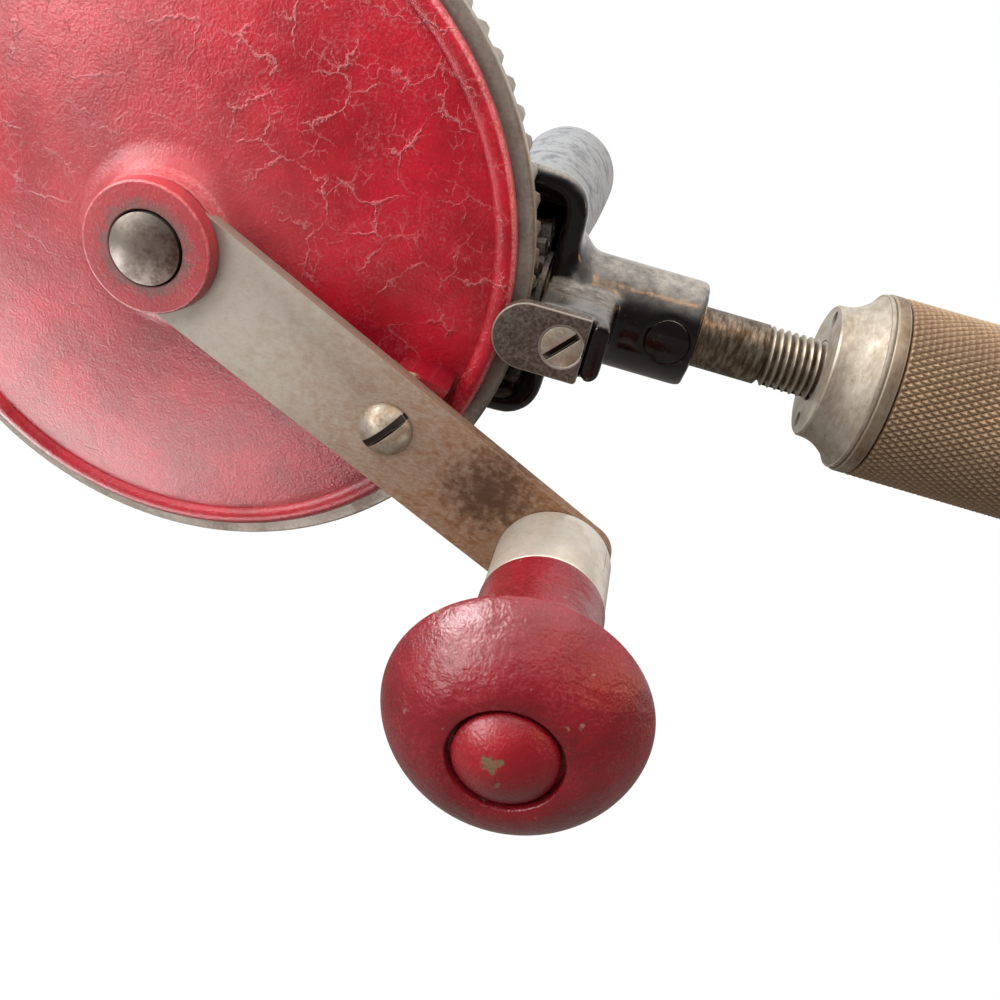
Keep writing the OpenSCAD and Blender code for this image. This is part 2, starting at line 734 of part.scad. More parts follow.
// Turning knob: a waisted neck that swells into a mushroom, with a recess for the button
module crank_knob() {
    color(enamel_red) at_knob() difference() {
        translate([0, 0, knob_start]) rotate_extrude() polygon(knob_outline());
        rod(pin_d + 2 * run_gap, arm_front - 1, knob_start + knob_l + 1);
        rod(button_d + 2 * button_gap, knob_start + knob_l - button_sink - face_gap, knob_start + knob_l + 1);
    }
}
knob_waist = 0.42 * knob_l;
knob_steps = 14;
function knob_outline() = let (r0 = knob_neck_d / 2, rf = ferrule_d / 2 - 0.6, rm = knob_d / 2) concat(
    [[0, 0], [r0, 0], [r0, ferrule_l], [rf, ferrule_l], [rf - 0.5, ferrule_l + 3]],
    [for (i = [1:knob_steps])
        let (s = i / knob_steps)
            [rf - 0.5 + (rm - rf + 0.5) * (1 - cos(90 * s)) * (0.75 + 0.25 * s),
             ferrule_l + 3 + (knob_widest - ferrule_l - 3) * sin(90 * s)]],
    [for (i = [1:knob_steps])
        let (a = 90 * i / knob_steps)
            [button_d / 2 + button_gap + 2 + (rm - button_d / 2 - button_gap - 2) * cos(a),
             knob_widest + (knob_l - knob_widest) * sin(a)]],
    [[0, knob_l]]
);
module knob_ferrule() {
    color(bright_steel) at_knob()
        tube(ferrule_d, knob_neck_d + 2 * fit_gap, knob_start, knob_start + ferrule_l - fit_gap);
}

// Spindle with its journal and chuck thread
module spindle() {
    color(brown_steel) on_spindle() difference() {
        union() {
            rod(journal_d, journal_end, pinion_hub_x + 1);
            rod(spindle_d, pinion_hub_x, thread_x);
            rotate_extrude() polygon(thread_outline());
        }
        pinion_pin_hole();
    }
}
thread_turns = floor((thread_show_l + thread_in) / thread_pitch);
function thread_outline() = let (crest = spindle_d / 2, root = spindle_d / 2 - thread_depth) concat(
    [[0, thread_x]],
    [for (i = [0:thread_turns - 1])
        for (p = [[crest, 0], [root, 0.42], [root, 0.58]]) [p[0], thread_x + (i + p[1]) * thread_pitch]],
    [[crest, thread_x + thread_turns * thread_pitch], [0, thread_x + thread_turns * thread_pitch]]
);
pin_x = (pinion_hub_x + pinion_small_x) / 2 - 0.5;
module pinion_pin_hole() {
    translate([0, 0, pin_x]) rotate([90, 0, 0]) rod(pinion_pin_d + 2 * fit_gap, -pinion_hub_d, pinion_hub_d);
}
module pinion_pin() {
    color(steel) on_spindle() translate([0, 0, pin_x]) rotate([90, 0, 0])
        rod(pinion_pin_d, -pinion_hub_d / 2 + 0.3, pinion_hub_d / 2 - 0.3);
}
pinion_core_d = 17;
module pinion() {
    half_pitch = 180 / pinion_teeth;
    color(steel) on_spindle() difference() {
        union() {
            bevel_teeth(pinion_teeth, pinion_tooth(), pinion_pitch_r, gear_pitch_r,
                        [cos(pinion_cone), -sin(pinion_cone)],
                        function (p) let (r = norm([p[0], p[1]]))
                            [p[0] / r * (pinion_core_d / 2 - 1), p[1] / r * (pinion_core_d / 2 - 1), p[2]],
                        -90 + half_pitch);
            rod(pinion_core_d, pinion_hub_x, pinion_front_x);
            rod(pinion_hub_d, pinion_hub_x, pinion_small_x - 1);
        }
        rod(spindle_d + 2 * fit_gap, pinion_hub_x - 1, pinion_front_x + 1);
        pinion_pin_hole();
    }
}

// Thrust bearing behind the pinion
module thrust_race() {
    color(steel) on_spindle() tube(pinion_hub_d + 3, journal_d + 4 * run_gap, race_x, race_x + race_t);
}
module thrust_cage() {
    color(bronze) on_spindle() difference() {
        tube(ball_track_d + ball_d + 1.6, journal_d + 4 * run_gap, ball_x - 0.7, ball_x + 0.7);
        at_balls() sphere(d = ball_d + 4 * run_gap, $fn = 32);
    }
}
module thrust_balls() {
    color(bright_steel) on_spindle() at_balls() sphere(d = ball_d - 2 * fit_gap, $fn = 32);
}
module at_balls() {
    for (i = [0:ball_count - 1])
        rotate([0, 0, 360 / ball_count * i]) translate([ball_track_d / 2, 0, ball_x]) children();
}

// Chuck body with a flared rear end, a core for the jaws and a bare front cone
module chuck_body() {
    color(steel) on_spindle() difference() {
        union() {
            rotate_extrude() polygon(flare_outline());
            rod(core_d, collar_x - 1, cone_x);
            cone_between(chuck_d - 2, chuck_front_d, cone_x + face_gap, chuck_front);
            rod(core_d, cone_x - 1, cone_x + face_gap + 1);
        }
        rod(spindle_d + 2 * fit_gap, chuck_back - 1, chuck_back + thread_in + 2);
        rod(drill_bore_d, chuck_back + thread_in + 1, chuck_front + 1);
        at_jaws() rod(jaw_d + 2 * run_gap, -jaw_l - jaw_open - 2, jaw_l);
        spanner_holes();
    }
}
flare_steps = 8;
function flare_outline() = let (r0 = chuck_back_d / 2, r1 = chuck_d / 2) concat(
    [[0, chuck_back], [r0 - 0.4, chuck_back], [r0, chuck_back + 0.4]],
    [for (i = [1:flare_steps])
        let (a = 90 * i / flare_steps)
            [r0 + (r1 - r0) * (1 - cos(a)), chuck_back + 0.4 + (flare_l - 1.4) * sin(a)]],
    [[r1, collar_x], [0, collar_x]]
);
spanner_d = 3.4;
module spanner_holes() {
    for (s = [-1, 1])
        rotate([0, 0, 62]) translate([s * (chuck_back_d / 2 - 3), 0, 0]) rod(spanner_d, chuck_back - 1, chuck_back + 4);
}
module chuck_collar() {
    color(brown_steel) on_spindle()
        tube(chuck_d, core_d + 2 * fit_gap, collar_x + fit_gap, sleeve_x - face_gap / 2);
}

// Local frame of each jaw: its own slanted axis, with the front of the jaw at zero
module at_jaw(i) {
    rotate([0, 0, 120 * i]) translate([jaw_axis_front, 0, chuck_front]) rotate([0, -jaw_angle, 0]) children();
}
module at_jaws() {
    for (i = [0:2]) at_jaw(i) children();
}
// One jaw: a slanted rod with a hollow gripping face and two flanks
module chuck_jaw(i) {
    color(steel) on_spindle() difference() {
        at_jaw(i) rod(jaw_d, -jaw_l, 0);
        rod(grip_d, 0, chuck_front + jaw_l);
        rotate([0, 0, 120 * i]) for (s = [-1, 1])
            rotate([0, 0, s * 60]) translate([-jaw_d, s > 0 ? -jaw_side_gap : -2 * jaw_d + jaw_side_gap, 0])
                cube([4 * jaw_d, 2 * jaw_d, chuck_front + jaw_l]);
    }
}
module chuck_jaw_1() { chuck_jaw(0); }
module chuck_jaw_2() { chuck_jaw(1); }
module chuck_jaw_3() { chuck_jaw(2); }

// Knurled sleeve round the core, and the threaded ring that it turns
sleeve_bore_d = chuck_d - 2 * sleeve_wall;
module chuck_sleeve() {
    color(brown_steel) on_spindle() difference() {
        rod(chuck_d, sleeve_x, cone_x);
        rod(core_d + 2 * run_gap, sleeve_x - 1, cone_x + 1);
        rod(sleeve_bore_d, jaw_tail_x() - 2, nut_x + nut_l);
    }
}
function jaw_tail_x() = chuck_front - (jaw_l + jaw_open) * cos(jaw_angle) - jaw_d / 2 * sin(jaw_angle);
// Outer edge of the jaws at a place along the spindle
function jaw_edge_r(x) = jaw_axis_front + (chuck_front - x) * tan(jaw_angle) + (jaw_d / 2 + run_gap) / cos(jaw_angle);
module chuck_nut() {
    bore0 = 2 * max(jaw_edge_r(nut_x), core_d / 2 + run_gap);
    bore1 = 2 * max(jaw_edge_r(nut_x + nut_l), core_d / 2 + run_gap);
    color(steel) on_spindle() difference() {
        rod(sleeve_bore_d - 2 * fit_gap, nut_x, nut_x + nut_l - fit_gap);
        cone_between(bore0, bore1, nut_x - 0.01, nut_x + nut_l + 0.01);
    }
}

placed() frame();
placed() gear_keeper();
placed() keeper_screw();
placed() front_bush();
placed() rear_bush();
placed() nose_plug();
placed() side_handle();
placed() handle_stud();
placed() breast_rod();
placed() rod_pin();
placed() breast_plate();
placed() plate_screw();
placed() gear_washer();
placed() drive_gear();
placed() gear_axle();
placed() axle_collar();
placed() collar_pin();
placed() crank_arm();
placed() crank_screw();
placed() crank_pin();
placed() crank_knob();
placed() knob_ferrule();
placed() spindle();
placed() pinion();
placed() pinion_pin();
placed() thrust_race();
placed() thrust_cage();
placed() thrust_balls();
placed() chuck_body();
placed() chuck_collar();
placed() chuck_sleeve();
placed() chuck_nut();
placed() chuck_jaw_1();
placed() chuck_jaw_2();
placed() chuck_jaw_3();
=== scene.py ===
"""Dressed model of a hand-cranked breast drill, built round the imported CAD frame."""
import logging
import math
from dataclasses import dataclass
from enum import Enum
from functools import partial
from typing import Iterable, Sequence

import bmesh
import bpy
from mathutils import Matrix, Vector


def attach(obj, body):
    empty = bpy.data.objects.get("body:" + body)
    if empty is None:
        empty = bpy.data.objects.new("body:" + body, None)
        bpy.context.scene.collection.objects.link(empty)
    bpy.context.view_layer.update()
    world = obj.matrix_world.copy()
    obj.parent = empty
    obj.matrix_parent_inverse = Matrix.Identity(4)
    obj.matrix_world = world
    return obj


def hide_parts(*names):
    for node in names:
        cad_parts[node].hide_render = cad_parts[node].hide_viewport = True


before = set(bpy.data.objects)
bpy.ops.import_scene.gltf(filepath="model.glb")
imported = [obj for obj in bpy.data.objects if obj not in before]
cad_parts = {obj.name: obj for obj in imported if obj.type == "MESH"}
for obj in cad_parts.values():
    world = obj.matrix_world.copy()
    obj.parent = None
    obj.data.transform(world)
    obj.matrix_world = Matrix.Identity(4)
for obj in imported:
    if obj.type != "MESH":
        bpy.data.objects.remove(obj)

LOG = logging.getLogger("breast_drill")

# Lengths are in millimetres up to the last transform, which turns them to metres.
MM = 0.001
# Sizes that several pieces share: the gear's place along the spindle, the crank's direction in degrees
# below X and its throw, and how far the arm's two faces and the hub's front stand out from the spindle's line.
GEAR_X = 210.0
CRANK_ANGLE = 24.76
CRANK_R = 94.0
ARM_BACK = 37.1
ARM_FRONT = 40.3
HUB_FRONT = 43.8
# Height at which the knob and its ferrule start, just clear of the arm.
KNOB_FOOT = ARM_FRONT + 0.3

Profile = Sequence[tuple[float, float]]
Mesh = bmesh.types.BMesh
Tree = bpy.types.NodeTree
Socket = bpy.types.NodeSocket


class Body(Enum):
    """Bodies of the mechanism."""

    FRAME = "frame"
    CRANK = "crank"
    KNOB = "knob"
    SPINDLE = "spindle"
    SLEEVE = "sleeve"
    JAW_1 = "jaw_1"
    JAW_2 = "jaw_2"
    JAW_3 = "jaw_3"


class Slot(Enum):
    """Material slots of the record."""

    RED = "red_enamel"
    BLACK = "black_enamel"
    GREY = "grey_paint"
    STEEL = "worn_steel"
    BROWN = "brown_steel"
    BRIGHT = "bright_steel"


class Place(Enum):
    """Local frames: each turns a mesh drawn round Z into the part's frame."""

    GEAR = Matrix.Rotation(math.radians(90), 4, "X")
    SPINDLE = Matrix.Rotation(math.radians(90), 4, "Y")
    HANDLE = Matrix.Translation((58, 0, 0)) @ Matrix.Rotation(math.radians(-90), 4, "X")
    KEEPER = Matrix.Translation((0, 0, -0.6)) @ Matrix.Rotation(math.radians(90), 4, "X")
    CRANK = Matrix.Rotation(math.radians(90), 4, "X") @ Matrix.Rotation(math.radians(-CRANK_ANGLE), 4, "Z")
    KNOB = CRANK @ Matrix.Translation((CRANK_R, 0, 0))

    def world(self) -> Matrix:
        """Matrix from this local frame to the part's frame, in metres."""
        return Matrix.Scale(MM, 4) @ Matrix.Translation((GEAR_X, 0, 0)) @ self.value


def hex_rgba(code: str) -> tuple[float, float, float, float]:
    """Turn an sRGB hex colour to linear light.

    Args:
        code: Colour such as "#a81824".

    Returns:
        Linear red, green, blue and an alpha of 1.
    """
    parts = [int(code[i:i + 2], 16) / 255 for i in (1, 3, 5)]
    red, green, blue = [v / 12.92 if v <= 0.04045 else ((v + 0.055) / 1.055) ** 2.4 for v in parts]
    return red, green, blue, 1.0


def add_node(tree: Tree, kind: str, settings: dict | None = None,
             inputs: dict | None = None) -> bpy.types.NodeOutputs:
    """Add one node with its settings and links.

    Args:
        tree: Tree that gets the node.
        kind: Blender's name of the node type.
        settings: Attributes of the node.
        inputs: Values or output sockets for its input sockets, by name or number.

    Returns:
        The new node's outputs.
    """
    made = tree.nodes.new(kind)
    for key, value in (settings or {}).items():
        setattr(made, key, value)
    for key, value in (inputs or {}).items():
        if isinstance(value, Socket):
            tree.links.new(value, made.inputs[key])
        else:
            made.inputs[key].default_value = value
    return made.outputs


# Kinds of node that come up often, with their settings.
NOISE = ("ShaderNodeTexNoise", None)
SPLIT = ("ShaderNodeSeparateXYZ", None)
EDGE = ("ShaderNodeAttribute", {"attribute_name": "edge"})
RANGE = ("ShaderNodeMapRange", {"interpolation_type": "SMOOTHSTEP"})
COLOUR_MIX = ("ShaderNodeMix", {"data_type": "RGBA", "clamp_factor": True})
MULTIPLY, MULTIPLY_ADD, MAXIMUM, ADD = (
    ("ShaderNodeMath", {"operation": name}) for name in ("MULTIPLY", "MULTIPLY_ADD", "MAXIMUM", "ADD"))
VECTOR_SCALE, VECTOR_ADD, VECTOR_MULTIPLY_ADD, LENGTH, DISTANCE, DOT_PRODUCT = (
    ("ShaderNodeVectorMath", {"operation": name})
    for name in ("SCALE", "ADD", "MULTIPLY_ADD", "LENGTH", "DISTANCE", "DOT_PRODUCT"))


@dataclass(frozen=True)
class Finish:
    """A surface finish. Subclasses draw its pattern."""

    name: str

    def material(self) -> bpy.types.Material:
        """Make the finish's material, once.

        Returns:
            The material.
        """
        made = bpy.data.materials.get(self.name)
        if made:
            return made
        made = bpy.data.materials.new(self.name)
        made.use_nodes = True
        made.node_tree.nodes.clear()
        add = partial(add_node, made.node_tree)
        object_m = add("ShaderNodeTexCoord")["Object"]
        point_mm = add(*VECTOR_SCALE, {0: object_m, "Scale": 1 / MM})[0]
        shader = add("ShaderNodeBsdfPrincipled", None, self.dress(made.node_tree, point_mm))[0]
        add("ShaderNodeOutputMaterial", None, {"Surface": shader})
        return made

    def dress(self, tree: Tree, point_mm: Socket) -> dict:
        """Draw the pattern.

        Args:
            tree: The material's tree.
            point_mm: Object coordinates in millimetres.

        Returns:
            Inputs of the shader.
        """
        raise NotImplementedError

    @staticmethod
    def relief(tree: Tree, height_mm: Socket) -> Socket:
        """Normal of a relief whose height is in millimetres."""
        return add_node(tree, "ShaderNodeBump", None, {"Height": height_mm, "Distance": MM})[0]

    @staticmethod
    def patches(tree: Tree, where_mm: Socket, size_mm: float, detail: float, low: float, high: float,
                full: float = 1.0, rough: float = 0.5) -> Socket:
        """Soft patches cut out of a noise.

        Args:
            tree: The material's tree.
            where_mm: Place in millimetres.
            size_mm: Size of the patches.
            detail: Number of finer noises added.
            low: Noise level where a patch starts.
            high: Noise level where it is full.
            full: Value of a full patch.
            rough: Share of the finer noises.

        Returns:
            0 between the patches, up to the full value in them.
        """
        noise = {"Vector": where_mm, "Scale": 1 / size_mm, "Detail": detail, "Roughness": rough}
        level = add_node(tree, *NOISE, noise)[0]
        return add_node(tree, *RANGE, {"Value": level, "From Min": low, "From Max": high, "To Max": full})[0]


@dataclass(frozen=True)
class OldEnamel(Finish):
    """Old brushed enamel on iron: soft gloss, mottled colour, raised pale crack lines that are partly painted
    highlight, a painted shadow beside them, and chips to the primer.
    """

    base: str = "#b81428"
    shade: str = "#9a0d1d"
    pale: str = "#ab5c5e"
    # Pale colour of the crack ridges and of pale edges, partly painted highlight.
    crack: str = "#e88f90"
    # Dark red of the thin spots, and of the painted shadow beside the cracks.
    dark_spot_and_shadow: str = "#6e0c18"
    chip: str = "#8c6a58"
    cell_mm: float = 9.0
    line_mm: float = 0.24
    crack_share: float = 1.0
    chip_share: float = 0.0
    chip_at: tuple[float, float, float, float] = (0.0, 0.0, 0.0, 0.0)
    edge_wear_and_highlight: float = 0.6
    rub_r_mm: float = 0.0
    calm_r_mm: float = 0.0
    ripple_mm: float = 0.12
    roughness: float = 0.36

    def crazing(self, tree: Tree, flat_mm: Socket, cell: float, line: float, patch: float,
                keep: float) -> Socket:
        """Broken network of crack lines.

        Args:
            tree: The material's tree.
            flat_mm: Place across the wheel's face in millimetres.
            cell: Size of the paint flakes in millimetres.
            line: Width of a line in millimetres.
            patch: Length of the pieces into which the lines break, in millimetres.
            keep: Noise level above which a line shows.

        Returns:
            1 on a line, 0 elsewhere.
        """
        add = partial(add_node, tree)
        bend, jag = 1.4 * cell, 0.55 * cell
        wave = add(*NOISE, {"Vector": flat_mm, "Scale": 0.5 / cell, "Detail": 1.0})["Color"]
        bent = add(*VECTOR_MULTIPLY_ADD, {0: wave, 1: (bend, bend, 0.0), 2: flat_mm})[0]
        fray = add(*NOISE, {"Vector": flat_mm, "Scale": 3.2 / cell, "Detail": 4.0, "Roughness": 0.6})["Color"]
        bent = add(*VECTOR_MULTIPLY_ADD, {0: fray, 1: (jag, jag, 0.0), 2: bent})[0]
        edge = add("ShaderNodeTexVoronoi", {"feature": "DISTANCE_TO_EDGE", "voronoi_dimensions": "2D"},
                   {"Vector": bent, "Scale": 1 / cell})["Distance"]
        shown = self.patches(tree, flat_mm, patch, 3.0, keep, keep + 0.22)
        width = add(*MULTIPLY_ADD, {0: shown, 1: 1.3 * line / cell, 2: 0.3 * line / cell})[0]
        lines = add(*RANGE, {"Value": edge, "From Min": width, "From Max": 0.0})[0]
        return add(*MULTIPLY, {0: lines, 1: shown})[0]

    def mottled(self, tree: Tree, point_mm: Socket, grit: Socket) -> tuple[Socket, Socket]:
        """Colour of the whole paint: two reds, dark thin spots and pale dust.

        Args:
            tree: The material's tree.
            point_mm: Object coordinates in millimetres.
            grit: Fine noise of the paint's surface.

        Returns:
            The colour and the share of dust.
        """
        add = partial(add_node, tree)
        tone = self.patches(tree, point_mm, 12, 4.0, 0.35, 0.65)
        colour = add(*COLOUR_MIX, {0: tone, 6: hex_rgba(self.shade), 7: hex_rgba(self.base)})[2]
        hide = self.patches(tree, point_mm, 1.5, 5.0, 0.45, 0.7, 0.4, 0.7)
        colour = add(*COLOUR_MIX, {0: hide, 6: colour, 7: hex_rgba(self.dark_spot_and_shadow)})[2]
        area = self.patches(tree, point_mm, 8, 3.0, 0.35, 0.7, 0.36)
        dust = add(*RANGE, {"Value": grit, "From Min": 0.45, "From Max": 0.7})[0]
        dust = add(*MULTIPLY, {0: dust, 1: area})[0]
        colour = add(*COLOUR_MIX, {0: dust, 6: colour, 7: hex_rgba(self.pale)})[2]
        if self.calm_r_mm:
            dull = add(*RANGE, {"Value": self.radius(tree, point_mm), "From Min": 0.8 * self.calm_r_mm,
                                "From Max": 2.6 * self.calm_r_mm, "To Min": 0.38, "To Max": 0.0})[0]
            colour = add(*COLOUR_MIX, {0: dull, 6: colour, 7: hex_rgba(self.pale)})[2]
        return colour, dust

    def cracks(self, tree: Tree, point_mm: Socket) -> tuple[Socket, Socket]:
        """Raised crack lines and a painted shadow beside them, fewer near the axle and low on the wheel.

        Args:
            tree: The material's tree.
            point_mm: Object coordinates in millimetres.

        Returns:
            Strength of the lines and of their painted shadows.
        """
        add = partial(add_node, tree)
        axes = add(*SPLIT, {0: point_mm})
        flat = add("ShaderNodeCombineXYZ", None, {0: axes["X"], 1: axes["Z"]})[0]
        # The same lines shifted aside give a painted shadow on one side of each ridge.
        shadow_flat = add(*VECTOR_ADD, {0: flat, 1: (-0.22, 0.3, 0.0)})[0]
        ridge_shadow = self.crazing(tree, shadow_flat, self.cell_mm, self.line_mm, 10.0, 0.4)
        large = self.crazing(tree, flat, self.cell_mm, self.line_mm, 10.0, 0.4)
        small = self.crazing(tree, flat, 0.28 * self.cell_mm, 0.6 * self.line_mm, 5.0, 0.44)
        small = add(*MULTIPLY, {0: small, 1: 0.4})[0]
        crack = add(*MAXIMUM, {0: large, 1: small})[0]
        share = self.crack_share
        if self.calm_r_mm:
            share = add(*RANGE, {"Value": self.radius(tree, point_mm), "From Min": self.calm_r_mm,
                                 "From Max": 1.9 * self.calm_r_mm, "To Max": share})[0]
        height_z = add(*RANGE, {"Value": axes["Z"], "From Min": -32.0, "From Max": 12.0, "To Min": 0.2})[0]
        share = add(*MULTIPLY, {0: height_z, 1: share})[0]
        crack = add(*MULTIPLY, {0: crack, 1: share})[0]
        ridge_shadow = add(*MULTIPLY, {0: ridge_shadow, 1: share})[0]
        return crack, add(*MULTIPLY, {0: ridge_shadow, 1: 0.5})[0]

    def chips(self, tree: Tree, point_mm: Socket) -> Socket:
        """Places without paint: scattered chips, one large chip and the rubbed hub.

        Args:
            tree: The material's tree.
            point_mm: Object coordinates in millimetres.

        Returns:
            1 where the paint is off, 0 elsewhere.
        """
        add = partial(add_node, tree)
        spots = add(*NOISE, {"Vector": point_mm, "Scale": 1 / 4.5, "Detail": 5.0, "Roughness": 0.65})[0]
        limit = 0.72 - 0.1 * self.chip_share
        bare = add(*RANGE, {"Value": spots, "From Min": limit, "From Max": limit + 0.03,
                            "To Max": min(1.0, self.chip_share)})[0]
        *middle, size = self.chip_at
        if size:
            away = add(*DISTANCE, {0: point_mm, 1: middle})["Value"]
            away = add(*MULTIPLY_ADD, {0: spots, 1: -7 * size, 2: away})[0]
            near = add(*RANGE, {"Value": away, "From Min": -2.6 * size, "From Max": -3.0 * size})[0]
            bare = add(*MAXIMUM, {0: bare, 1: near})[0]
        if self.rub_r_mm:
            fray = add(*NOISE, {"Vector": point_mm, "Scale": 1 / 1.4, "Detail": 5.0, "Roughness": 0.65})[0]
            edge = add(*MULTIPLY_ADD, {0: fray, 1: 7.0, 2: self.radius(tree, point_mm)})[0]
            rubbed = add(*RANGE, {"Value": edge, "From Min": self.rub_r_mm + 5.2,
                                  "From Max": self.rub_r_mm + 1.8, "To Max": 0.8})[0]
            bare = add(*MAXIMUM, {0: bare, 1: rubbed})[0]
        return bare

    def dress(self, tree: Tree, point_mm: Socket) -> dict:
        """Draw mottled colour, cracks with painted shadows and partly painted highlights, pale edges that are
        partly wear and partly painted highlight, chips and rubbed paint.

        Args:
            tree: The material's tree.
            point_mm: Object coordinates in millimetres.

        Returns:
            Inputs of the shader.
        """
        add = partial(add_node, tree)
        grit = add(*NOISE, {"Vector": point_mm, "Scale": 1 / 0.55, "Detail": 3.0, "Roughness": 0.6})[0]
        colour, dust = self.mottled(tree, point_mm, grit)
        crack, ridge_shadow = self.cracks(tree, point_mm)
        # Painted shadow beside the crack ridges.
        colour = add(*COLOUR_MIX, {0: ridge_shadow, 6: colour, 7: hex_rgba(self.dark_spot_and_shadow)})[2]
        # Pale tint on the crack ridges: the lifted paint's edge, and partly a painted highlight.
        tint = add(*MULTIPLY, {0: crack, 1: 0.36})[0]
        colour = add(*COLOUR_MIX, {0: tint, 6: colour, 7: hex_rgba(self.crack)})[2]
        # Pale edges from the edge attribute: wear on the hub flange and the pad, painted highlight on the
        # hub's fillet and the wheel's rolled edge.
        fleck = add(*RANGE, {"Value": grit, "From Min": 0.35, "From Max": 0.65,
                             "To Min": 0.3 * self.edge_wear_and_highlight, "To Max": 1.4 * self.edge_wear_and_highlight})[0]
        worn = add(*MULTIPLY, {0: add(*EDGE)["Fac"], 1: fleck})[0]
        colour = add(*COLOUR_MIX, {0: worn, 6: colour, 7: hex_rgba(self.crack)})[2]
        bare = self.chips(tree, point_mm)
        colour = add(*COLOUR_MIX, {0: bare, 6: colour, 7: hex_rgba(self.chip)})[2]
        waves = add(*NOISE, {"Vector": point_mm, "Scale": 1 / 3.5, "Detail": 3.0})[0]
        height = add(*MULTIPLY, {0: crack, 1: 0.12})[0]
        for pattern, depth_mm in ((grit, 0.13), (bare, -0.05), (waves, self.ripple_mm)):
            height = add(*MULTIPLY_ADD, {0: pattern, 1: depth_mm, 2: height})[0]
        rough = add(*RANGE, {"Value": dust, "From Max": 0.5, "To Min": self.roughness - 0.05,
                             "To Max": self.roughness + 0.12})[0]
        return {"Base Color": colour, "Roughness": rough, "IOR": 1.5, "Normal": self.relief(tree, height)}

    def radius(self, tree: Tree, point_mm: Socket) -> Socket:
        """Distance from the axle's line in millimetres."""
        flat = add_node(tree, *VECTOR_MULTIPLY_ADD, {0: point_mm, 1: (1, 0, 1), 2: (-GEAR_X, 0, 0)})[0]
        return add_node(tree, *LENGTH, {0: flat})["Value"]


@dataclass(frozen=True)
class GlossBlack(Finish):
    """Stoved black enamel on a casting: deep gloss, a faint orange peel, brown specks and dust."""

    base: str = "#0c0908"
    dirt: str = "#3a2a20"
    dust: str = "#a39b8f"
    roughness: float = 0.15

    def dress(self, tree: Tree, point_mm: Socket) -> dict:
        """Draw dirt specks, dust on what faces up, casting waves and orange peel.

        Args:
            tree: The material's tree.
            point_mm: Object coordinates in millimetres.

        Returns:
            Inputs of the shader.
        """
        add = partial(add_node, tree)
        specks = self.patches(tree, point_mm, 0.9, 5.0, 0.56, 0.72, 0.8, 0.7)
        area = self.patches(tree, point_mm, 9, 2.0, 0.42, 0.68)
        dirt = add(*MULTIPLY, {0: specks, 1: area})[0]
        dirt = add(*MULTIPLY_ADD, {0: add(*EDGE)["Fac"], 1: 0.25, 2: dirt})[0]
        colour = add(*COLOUR_MIX, {0: dirt, 6: hex_rgba(self.base), 7: hex_rgba(self.dirt)})[2]
        facing = add(*SPLIT, {0: add("ShaderNodeNewGeometry")["Normal"]})["Z"]
        facing = add(*RANGE, {"Value": facing, "From Min": 0.45, "From Max": 0.95, "To Max": 0.72})[0]
        patch = self.patches(tree, point_mm, 3, 6.0, 0.2, 0.72, rough=0.75)
        depth = add(*SPLIT, {0: point_mm})["Y"]
        depth = add(*RANGE, {"Value": depth, "From Min": -30.0, "From Max": -8.0, "To Min": 0.25})[0]
        patch = add(*MULTIPLY, {0: patch, 1: depth})[0]
        settled = add(*MULTIPLY, {0: facing, 1: patch})[0]
        colour = add(*COLOUR_MIX, {0: settled, 6: colour, 7: hex_rgba(self.dust)})[2]
        dirt = add(*MAXIMUM, {0: dirt, 1: settled})[0]
        rough = add(*RANGE, {"Value": dirt, "To Min": self.roughness, "To Max": 0.38})[0]
        waves = add(*NOISE, {"Vector": point_mm, "Scale": 1 / 4, "Detail": 2.0})[0]
        peel = add(*NOISE, {"Vector": point_mm, "Scale": 1 / 0.7, "Detail": 1.0})[0]
        height = add(*MULTIPLY, {0: peel, 1: 0.012})[0]
        height = add(*MULTIPLY_ADD, {0: waves, 1: 0.1, 2: height})[0]
        return {"Base Color": colour, "Roughness": rough, "IOR": 1.52, "Normal": self.relief(tree, height)}


